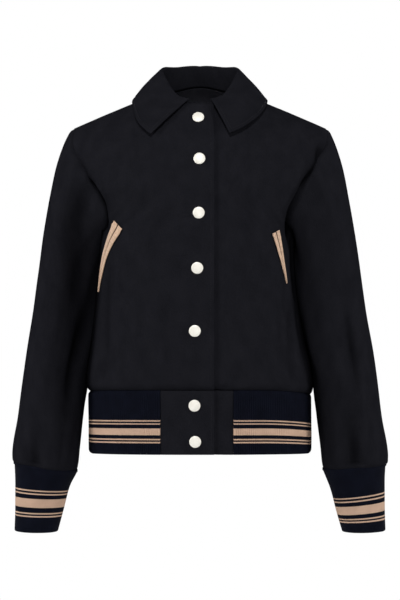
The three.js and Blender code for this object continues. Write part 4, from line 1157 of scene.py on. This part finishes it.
tab_right, tab_right_grid = hem_tab("hem_tab_right_cloth", BAND["top tab end"], TOP_FRONT_EDGE, False)
tab_left, _ = hem_tab("hem_tab_left_cloth", UNDER_FRONT_EDGE, BAND["under tab end"], True)
finish_piece(tab_right, ["hem_tab_right"], wool)
finish_piece(tab_left, ["hem_tab_left"], wool)

# %% [markdown]
# ## Collar
# The collar is sewn into the neckline, stands up a little, folds over in a soft roll and lies down
# on the shoulders. In front its two points hang free. Each cross-section is drawn from the neck seam
# to the outer edge: a straight stand, part of a circle for the roll, and a slightly bulging leaf. The
# two sides differ a little, as they do on a jacket that has been worn.

# %% Collar measures
COLLAR_CLOTH = 2.4
COLLAR_BACK = {
    "angle": [90, 120, 150, 180],
    "stand": [31, 37, 33.4, 29.2],
    "lean": [-6, -5, -4, -3],
    "edge x": [100, 84, 46, 0],
    "edge level": [1.03, 1.2, 1.3, 1.335],
    "lift": [4.6, 4.6, 4.6, 4.6],
}
COLLAR_FRONT = {
    -1: {
        "angle": [14.5, 30, 45, 60, 75],
        "stand": [2.6, 4.5, 13, 23, 29],
        "lean": [0, -2, -3, -4, -5],
        "edge x": [69.5, 79, 89, 96, 99.5],
        "edge level": [0.443, 0.494, 0.572, 0.71, 0.87],
        "lift": [9, 8.5, 7.5, 6, 5],
    },
    1: {
        "angle": [14.5, 30, 45, 60, 75],
        "stand": [2.6, 4.5, 13, 23, 29],
        "lean": [0, -2, -3, -4, -5],
        "edge x": [41, 57, 73, 89, 98],
        "edge level": [0.406, 0.46, 0.54, 0.665, 0.835],
        "lift": [9, 8.5, 7.5, 6, 5],
    },
}
LEAF = {"bulge": 1.4, "fold radius": 3.4, "fold ends": 125}
COLLAR_COLUMNS, COLLAR_HALF_LENGTH = 112, 300
LEAF_ROWS, LEAF_LENGTH = 26, 60
print("collar stands", COLLAR_BACK["stand"][-1], "mm at the back")


# %% Collar
def collar_half(side):
    """Half of the collar's outside, as rows from the neck seam up over the roll to the edge."""
    table = {key: COLLAR_FRONT[side][key] + COLLAR_BACK[key] for key in COLLAR_BACK}
    first, last = table["angle"][0], table["angle"][-1]
    angles = first + (last - first) * spaced(COLLAR_COLUMNS, COLLAR_HALF_LENGTH)
    at_back = angles > 90
    place = np.where(at_back[:, None], neckline(angles, side, True), neckline(angles, side, False))
    seam = body(place[:, 0], place[:, 1])
    turned = np.radians(angles)
    out_x, out_y = side * np.sin(turned) * NECK["back"], -np.cos(turned) * NECK["half width"]
    out = unit(np.stack([out_x, out_y, 0 * turned], -1))
    stand, lean = read(table, "angle", "stand", angles), read(table, "angle", "lean", angles)
    fold = np.minimum(LEAF["fold radius"], stand + 0.4)
    up = np.array([0, 0, 1.0])
    base = seam - out * COLLAR_CLOTH + up * (SEAM_GAP + 0.2)
    middle = base + out * (lean + fold)[:, None]
    middle[:, 2] = seam[:, 2] + stand

    def around(degrees):
        a = np.radians(degrees)
        return middle - out * (fold * np.cos(a))[:, None] + up * (fold * np.sin(a))[:, None]

    level = read(table, "angle", "edge level", angles)
    over = level > 1
    on_level = np.where(over, 2 - level, level)
    edge_x = side * read(table, "angle", "edge x", angles)
    edge_turn = np.where(over, turn_at(edge_x, on_level, True), turn_at(edge_x, on_level))
    lift = read(table, "angle", "lift", angles)
    edge = body(edge_turn, on_level) + outward(edge_turn, on_level) * lift[:, None]
    start = around(LEAF["fold ends"])
    bulge = (out * 0.6 + up * 0.8) * LEAF["bulge"] * 4
    rows = [base + (around(0) - base) * t for t in np.linspace(0, 1, 12)[:-1]]
    rows += [around(d) for d in np.linspace(0, LEAF["fold ends"], 11)]
    leaf = spaced(LEAF_ROWS, LEAF_LENGTH)
    rows += [start + (edge - start) * t + bulge * t * (1 - t) for t in leaf[leaf > 0.02]]
    return np.array(rows)


right_half, left_half = collar_half(-1), collar_half(1)
collar_grid = np.concatenate([right_half, left_half[:, ::-1][:, 1:]], 1)
for _ in range(5):
    eased = (collar_grid[:-2] + 2 * collar_grid[1:-1] + collar_grid[2:]) / 4
    collar_grid[3:-6] = eased[2:-5]
collar_normal = grid_normals(collar_grid)
free_edges = (LAST_ROW, FIRST_COLUMN, LAST_COLUMN)
to_edge = np.min([distance_to(collar_grid, collar_grid[edge]) for edge in free_edges], axis=0)
collar_uneven = waves(collar_grid, 60, 0.5, 14, (1, 1, 1)) + waves(collar_grid, 24, 0.12, 15, (1, 1, 1))
leaf_part = smoothstep(np.arange(len(collar_grid))[:, None], 18, 30)
collar_uneven = collar_uneven * leaf_part * smoothstep(to_edge, 0, 10)
puffed = 0.35 * np.exp(-(((to_edge - 3) / 2.5) ** 2)) - 0.25 * np.exp(-(((to_edge - 6.5) / 1.2) ** 2))
rounded = edge_round(to_edge, 1.2)
collar_outer = collar_grid + collar_normal * (collar_uneven + rounded + puffed * leaf_part)[..., None]
collar_inner = collar_grid + collar_normal * (collar_uneven - COLLAR_CLOTH - rounded * 0.8)[..., None]
collar = finish_piece(shell("collar_cloth", collar_outer, collar_inner), ["collar"], wool)

# %% [markdown]
# ## Pocket welts
# Each slanted pocket opens between two narrow lips of beige cloth, folded double and sewn to the
# front. They look like two rounded ribbons with a dark slit between them. Each lip is a closed strip
# swept along the slit, laid on the finished front so that it follows every fold beneath it.

# %% Welt material
def woven_material(name, dark, light):
    material, nodes, links, shader = new_material(name, 0.82)
    cloth = cloth_map(nodes)
    split = nodes.new("ShaderNodeSeparateXYZ")
    links.new(cloth, split.inputs[0])
    threads = []
    for socket in (split.outputs[0], split.outputs[1]):
        turned = math_node(nodes, links, "MULTIPLY", socket, 2 * np.pi / (0.7 * MM))
        threads.append(math_node(nodes, links, "SINE", turned))
    weave = math_node(nodes, links, "MULTIPLY", *threads)
    patchy = noise(nodes, links, scaled(nodes, links, cloth, (350, 120, 1)), 1.0, 4)
    mixed = math_node(nodes, links, "MULTIPLY_ADD", weave, 0.12, patchy)
    links.new(ramp(nodes, links, mixed, [(0.3, dark), (0.7, light)]), shader.inputs["Base Color"])
    add_bump(nodes, links, shader, weave, 0.00012, 0.7)
    shader.inputs["Specular IOR Level"].default_value = 0.3
    shader.inputs["Sheen Weight"].default_value = 0.15
    shader.inputs["Sheen Roughness"].default_value = 0.5
    return material


welt_cloth = woven_material("beige welt cloth", (0.42, 0.275, 0.185), (0.56, 0.385, 0.27))

# %% Lay the welts
WELT = {"slit": 2.0, "thickness": 1.8, "lift": 1.0}
POCKETS = {
    -1: {"turn": [0.552, 0.745, 0.815], "level": [0.017, -0.176, -0.385], "lip": (10.2, 0.5, 1.7)},
    1: {"turn": [0.5265, 0.602, 0.655], "level": [-0.0207, -0.175, -0.3325], "lip": (7.0, 0.4, 1.3)},
}


def welt_lip(side, lip):
    """A closed strip along the slit: lip is -1 for the one towards the front and 1 for the other."""
    share = spaced(64, 100)
    weights = np.array([(1 - share) * (1 - 2 * share), 4 * share * (1 - share), share * (2 * share - 1)])
    turn = side * (np.array(POCKETS[side]["turn"]) @ weights)
    level = np.array(POCKETS[side]["level"]) @ weights
    step = 0.002
    by_turn = (body(turn + step, level) - body(turn - step, level)) / (2 * step)
    by_level = (body(turn, level + step) - body(turn, level - step)) / (2 * step)
    run = unit(np.gradient(body(turn, level), axis=0))
    across = by_turn * side
    across = unit(across - run * (across * run).sum(-1, keepdims=True))
    per_mm = np.einsum("nij,nj->ni", np.linalg.pinv(np.stack([by_turn, by_level], -1)), across)
    around = np.linspace(0, 2 * np.pi, 28, endpoint=False)
    upper, lower, narrowing = POCKETS[side]["lip"]
    width = (upper - (upper - lower) * share**narrowing) / 2
    bow = np.sign(np.cos(around)) * np.abs(np.cos(around)) ** 0.5
    tall = np.sign(np.sin(around)) * np.abs(np.sin(around)) ** 0.75 * WELT["thickness"] / 2
    narrowed = np.clip(np.minimum(share, 1 - share) * 100 / 0.8, 0, 1)
    ends = 0.6 + 0.4 * np.sqrt(1 - (1 - narrowed) ** 2)
    centre = lip * (WELT["slit"] / 2 * (1 - 0.8 * share) + width)
    rows = []
    for sideways, up in zip(bow, tall):
        offset = centre + sideways * width
        place_turn, place_level = turn + per_mm[:, 0] * offset, level + per_mm[:, 1] * offset
        height_here = WELT["lift"] + WELT["thickness"] / 2 + up * ends
        rows.append(body_surface(place_turn, place_level, height_here, lap=side > 0))
    return np.array(rows)


def closed_strip(name, rings):
    """A tube through rings of points, closed by a flat cap at both ends."""
    around, length = rings.shape[:2]
    r, c = np.mgrid[0:around, 0 : length - 1]
    nxt = (r + 1) % around
    quads = np.stack([r * length + c, r * length + c + 1, nxt * length + c + 1, nxt * length + c], -1)
    faces = quads.reshape(-1, 4).tolist()
    faces.append([k * length for k in range(around)])
    faces.append([k * length + length - 1 for k in reversed(range(around))])
    extended = measured(np.concatenate([rings, rings[:1]]))
    flat = extended[:-1].reshape(-1, 2)
    sizes, loops = listed(faces)
    return make_object(name, rings.reshape(-1, 3) * MM, sizes, loops, flat[loops])


for side, key in ((-1, "right"), (1, "left")):
    for lip, part in ((-1, "front"), (1, "side")):
        rings = welt_lip(side, lip)
        if side * lip > 0:
            rings = rings[::-1]
        piece = closed_strip(f"welt_{key}_{part}_strip", rings)
        finish_piece(piece, [f"welt_{key}_{part}"], welt_cloth)


# %% [markdown]
# ## Snap caps
# Seven cream caps close the front. A cap is a shallow dome of metal with baked enamel, rolled under
# at its rim. Its outline is turned round an axis, as on a lathe, and each cap sits on the cloth
# where its solid is, facing the way the cloth faces there.

# %% Snap material
def enamel_material():
    material, nodes, links, shader = new_material("cream enamel", 0.32)
    place = nodes.new("ShaderNodeTexCoord").outputs["Object"]
    cloudy = noise(nodes, links, place, 160.0, 3)
    colour = ramp(nodes, links, cloudy, [(0.3, (0.66, 0.63, 0.565)), (0.7, (0.72, 0.70, 0.64))])
    links.new(colour, shader.inputs["Base Color"])
    fine = noise(nodes, links, place, 900.0, 2)
    links.new(math_node(nodes, links, "MULTIPLY_ADD", fine, 0.12, 0.27), shader.inputs["Roughness"])
    add_bump(nodes, links, shader, fine, 0.00003, 0.5)
    shader.inputs["Coat Weight"].default_value = 0.25
    shader.inputs["Coat Roughness"].default_value = 0.2
    return material


enamel = enamel_material()

# %% Turn the snaps
SNAP_PROFILE = [
    (0, 0), (6.9, 0), (7.9, 0.1), (8.35, 0.35), (8.5, 0.75), (8.4, 1.15), (8.1, 1.45), (7.7, 1.65),
    (6.9, 1.95), (5.8, 2.2), (4.4, 2.38), (2.9, 2.5), (1.4, 2.57), (0, 2.6),
]
SNAP_SIDES = 56


def nearest_on(grid, point):
    away = np.linalg.norm(grid - point, axis=-1)
    r, c = np.unravel_index(away.argmin(), away.shape)
    return grid[r, c], grid_normals(grid)[r, c]


def snap(number, grid):
    low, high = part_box(f"snap_{number}")
    centre = (np.array(low) + np.array(high)) / 2 / MM
    seat, out = nearest_on(grid, centre)
    seat = seat + out * 0.2 + (centre - seat) - out * np.dot(centre - seat, out)
    side = unit(np.cross(out, [0, 0, 1.0]))
    up = np.cross(side, out)
    turned = np.linspace(0, 2 * np.pi, SNAP_SIDES, endpoint=False)
    points, faces = [], []
    for radius, height in SNAP_PROFILE[1:-1]:
        ring = np.outer(np.cos(turned), side) + np.outer(np.sin(turned), up)
        points.append(seat + ring * radius + out * height)
    points = np.concatenate(points + [[seat + out * SNAP_PROFILE[0][1]], [seat + out * SNAP_PROFILE[-1][1]]])
    rings = len(SNAP_PROFILE) - 2
    bottom, top = rings * SNAP_SIDES, rings * SNAP_SIDES + 1
    for k in range(SNAP_SIDES):
        n = (k + 1) % SNAP_SIDES
        faces.append([bottom, k, n])
        faces.append([top, (rings - 1) * SNAP_SIDES + n, (rings - 1) * SNAP_SIDES + k])
        faces += [[r * SNAP_SIDES + k, (r + 1) * SNAP_SIDES + k, (r + 1) * SNAP_SIDES + n, r * SNAP_SIDES + n]
                  for r in range(rings - 1)]
    piece = make_object(f"snap_{number}_cap", points * MM, *listed(faces))
    return finish_piece(piece, [f"snap_{number}"], enamel)


for number in range(1, 8):
    snap(number, front_right_grids[0] if number < 6 else tab_right_grid)

# %% [markdown]
# ## Stitching
# Edges that were turned in are held flat by a row of stitches: along the collar, the free edge of
# the upper front and that of the upper tab. The thread is dark like the cloth and hardly shows. A
# stitch is a short thread that dips into the cloth at both ends. Copying one small capsule along a
# line gives an even row, and all rows together make one light mesh.

# %% Stitches
STITCH_PITCH, STITCH_LENGTH, THREAD = 3.2, 2.3, 0.3
STITCH_INSET = 5  # distance of the row from the edge
THREAD_SIDES = 6
THREAD_DARK, THREAD_LIGHT = (0.0055, 0.0055, 0.0075), (0.0095, 0.0095, 0.0125)


def line_inside(grid, from_edge, along_rows):
    """Points and normals of the line that runs at a distance inside the last row or column."""
    normal = grid_normals(grid)
    if not along_rows:
        grid, normal = grid.transpose(1, 0, 2), normal.transpose(1, 0, 2)
    points, normals = [], []
    for column in range(grid.shape[1]):
        line, turned = grid[::-1, column], normal[::-1, column]
        reach = np.concatenate([[0], np.cumsum(np.linalg.norm(np.diff(line, axis=0), axis=-1))])
        points.append([np.interp(from_edge, reach, line[:, k]) for k in range(3)])
        normals.append([np.interp(from_edge, reach, turned[:, k]) for k in range(3)])
    return np.array(points), unit(np.array(normals))


def trimmed(points, normals, start, end):
    """The same line without its first and last millimetres."""
    reach = np.concatenate([[0], np.cumsum(np.linalg.norm(np.diff(points, axis=0), axis=-1))])
    keep = (reach >= start) & (reach <= reach[-1] - end)
    return points[keep], normals[keep]


def stitch_row(points, normals):
    """Centres, directions and normals of the stitches along a line."""
    reach = np.concatenate([[0], np.cumsum(np.linalg.norm(np.diff(points, axis=0), axis=-1))])
    at = np.arange(STITCH_PITCH / 2, reach[-1], STITCH_PITCH)

    def sampled(values, shift=0.0):
        return np.stack([np.interp(at + shift, reach, values[:, k]) for k in range(3)], -1)

    along = unit(sampled(points, 1) - sampled(points, -1))
    return sampled(points), along, unit(sampled(normals))


def capsules(rows):
    """One closed thread for each stitch: its rings, thin and sunk at both ends, and two caps."""
    centre, along, normal = (np.concatenate(part) for part in zip(*rows))
    across = unit(np.cross(along, normal))
    share = np.array([-1, -0.82, -0.4, 0.4, 0.82, 1])
    thick = np.array([0.25, 0.8, 1, 1, 0.8, 0.25]) * THREAD
    sunk = np.array([-0.35, -0.12, 0.06, 0.06, -0.12, -0.35])
    around = np.linspace(0, 2 * np.pi, THREAD_SIDES, endpoint=False)
    path = centre[:, None] + along[:, None] * (share * STITCH_LENGTH / 2)[:, None]
    path = path + normal[:, None] * sunk[:, None]
    ring = across[:, None, None] * np.cos(around)[:, None] + normal[:, None, None] * np.sin(around)[:, None]
    points = path[:, :, None] + ring * thick[:, None, None]
    r, k = np.mgrid[0 : len(share) - 1, 0:THREAD_SIDES]
    r, k, after = r * THREAD_SIDES, k, (k + 1) % THREAD_SIDES
    single = np.stack([r + k, r + after, r + THREAD_SIDES + after, r + THREAD_SIDES + k], -1).reshape(-1, 4)
    first_cap = np.arange(THREAD_SIDES)[::-1]
    last_cap = np.arange(THREAD_SIDES) + (len(share) - 1) * THREAD_SIDES
    caps = np.stack([first_cap, last_cap])
    start = (np.arange(len(centre)) * len(share) * THREAD_SIDES)[:, None]
    loops = np.concatenate([(start + single.ravel()).ravel(), (start + caps.ravel()).ravel()])
    sides = np.full(len(centre) * len(single), 4)
    sizes = np.concatenate([sides, np.full(len(centre) * 2, THREAD_SIDES)])
    return points.reshape(-1, 3) * MM, sizes, loops


def thread_material():
    material, nodes, links, shader = new_material("dark sewing thread", 0.6)
    place = nodes.new("ShaderNodeTexCoord").outputs["Object"]
    twist = noise(nodes, links, place, 900, 2)
    colour = ramp(nodes, links, twist, [(0.3, THREAD_DARK), (0.7, THREAD_LIGHT)])
    links.new(colour, shader.inputs["Base Color"])
    add_bump(nodes, links, shader, twist, 0.0001, 0.5)
    shader.inputs["Specular IOR Level"].default_value = 0.15
    return material


# %% Sew the rows
LEAF_FROM = 30  # the collar's rows from here on all lie on its leaf
collar_edge = trimmed(*line_inside(collar_outer, STITCH_INSET, True), 5, 5)
start_edge = trimmed(*line_inside(collar_outer[LEAF_FROM:, ::-1], STITCH_INSET, False), 1, 5)
end_edge = trimmed(*line_inside(collar_outer[LEAF_FROM:], STITCH_INSET, False), 1, 5)
front_edge = trimmed(*line_inside(front_right_grids[0], STITCH_INSET, False), 6, 2)
tab_edge = trimmed(*line_inside(tab_right_grid, STITCH_INSET, False), 5, 1)
rows = [stitch_row(*line) for line in (collar_edge, start_edge, end_edge, front_edge, tab_edge)]
points, sizes, loops = capsules(rows)
stitches = make_object("edge_stitches", points, sizes, loops)
stitches.data.materials.append(thread_material())
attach(stitches, "root")
print("stitches:", sum(len(row[0]) for row in rows))

# %% [markdown]
# ## Light, floor and camera
# The jacket is shown as a shop shows it: filled out, facing us, in soft even light on white. Large
# area lights stand in for softboxes. The camera is level with the middle of the jacket, three metres
# away with a long lens, so nothing is stretched.

# %% Lights
def add_area(name, location, target, size, power):
    data = bpy.data.lights.new(name, "AREA")
    data.shape = "RECTANGLE"
    data.size, data.size_y = size
    data.energy = power
    light = bpy.data.objects.new(name, data)
    light.location = location
    bpy.context.scene.collection.objects.link(light)
    direction = np.array(target, float) - np.array(location, float)
    light.rotation_euler = Vector(direction).to_track_quat("-Z", "Y").to_euler()
    print(name, power, "watts")


add_area("softbox at the left", (-2.9, -1.05, 0.35), (0, 0, -0.32), (0.9, 1.8), 72)
add_area("softbox at the right", (2.9, -0.9, 0.3), (0, 0, -0.32), (0.9, 1.8), 62)
add_area("key light in front, high", (-0.15, -2.3, 1.75), (0, 0, -0.3), (0.6, 0.4), 65)
add_area("soft fill beside the camera", (0.2, -3.3, -0.1), (0, 0, -0.2), (1.2, 1.2), 13)
add_area("softbox behind left", (-2.0, 2.4, 0.6), (0, 0, -0.32), (1.0, 1.8), 30)
add_area("softbox behind right", (2.0, 2.4, 0.6), (0, 0, -0.32), (1.0, 1.8), 30)

# %% A white room that lights the jacket only faintly
world = bpy.data.worlds.new("studio")
bpy.context.scene.world = world
world.use_nodes = True
world_nodes, world_links = world.node_tree.nodes, world.node_tree.links
room = world_nodes["Background"]
room.inputs[0].default_value = (1, 1, 1, 1)
room.inputs[1].default_value = 0.05
white = world_nodes.new("ShaderNodeBackground")
white.inputs[0].default_value = (1, 1, 1, 1)
white.inputs[1].default_value = 1.0
seen = world_nodes.new("ShaderNodeLightPath").outputs["Is Camera Ray"]
choose = world_nodes.new("ShaderNodeMixShader")
world_links.new(seen, choose.inputs[0])
world_links.new(room.outputs[0], choose.inputs[1])
world_links.new(white.outputs[0], choose.inputs[2])
world_links.new(choose.outputs[0], world_nodes["World Output"].inputs[0])
bpy.context.scene.view_settings.view_transform = "Standard"
print("room light:", room.inputs[1].default_value)

# %% Floor
FLOOR_RADIUS, FLOOR_Z, FLOOR_SIDES = 1.85, -1.1, 96  # in metres
turned = np.linspace(0, 2 * np.pi, FLOOR_SIDES, endpoint=False)
disc = [FLOOR_RADIUS * np.cos(turned), FLOOR_RADIUS * np.sin(turned), np.full(FLOOR_SIDES, FLOOR_Z)]
floor = make_object("studio_floor", np.stack(disc, -1), np.array([FLOOR_SIDES]), np.arange(FLOOR_SIDES))
floor_material, floor_nodes, floor_links, floor_shader = new_material("pale floor", 0.9)
floor_tone = noise(floor_nodes, floor_links, floor_nodes.new("ShaderNodeTexCoord").outputs["Object"], 3.0, 2)
floor_colour = ramp(floor_nodes, floor_links, floor_tone, [(0.3, (0.86, 0.86, 0.86)), (0.7, (0.9, 0.9, 0.9))])
floor_links.new(floor_colour, floor_shader.inputs["Base Color"])
floor.data.materials.append(floor_material)

# %% Camera
camera_data = bpy.data.cameras.new("camera")
camera_data.lens = 120
camera_data.sensor_width = 36
camera = bpy.data.objects.new("camera", camera_data)
camera.location = (0, -3.0, -0.326)
camera.rotation_euler = (np.pi / 2, 0, 0)
bpy.context.scene.collection.objects.link(camera)
bpy.context.scene.camera = camera
print("camera", -camera.location[1], "m in front, lens", camera_data.lens, "mm")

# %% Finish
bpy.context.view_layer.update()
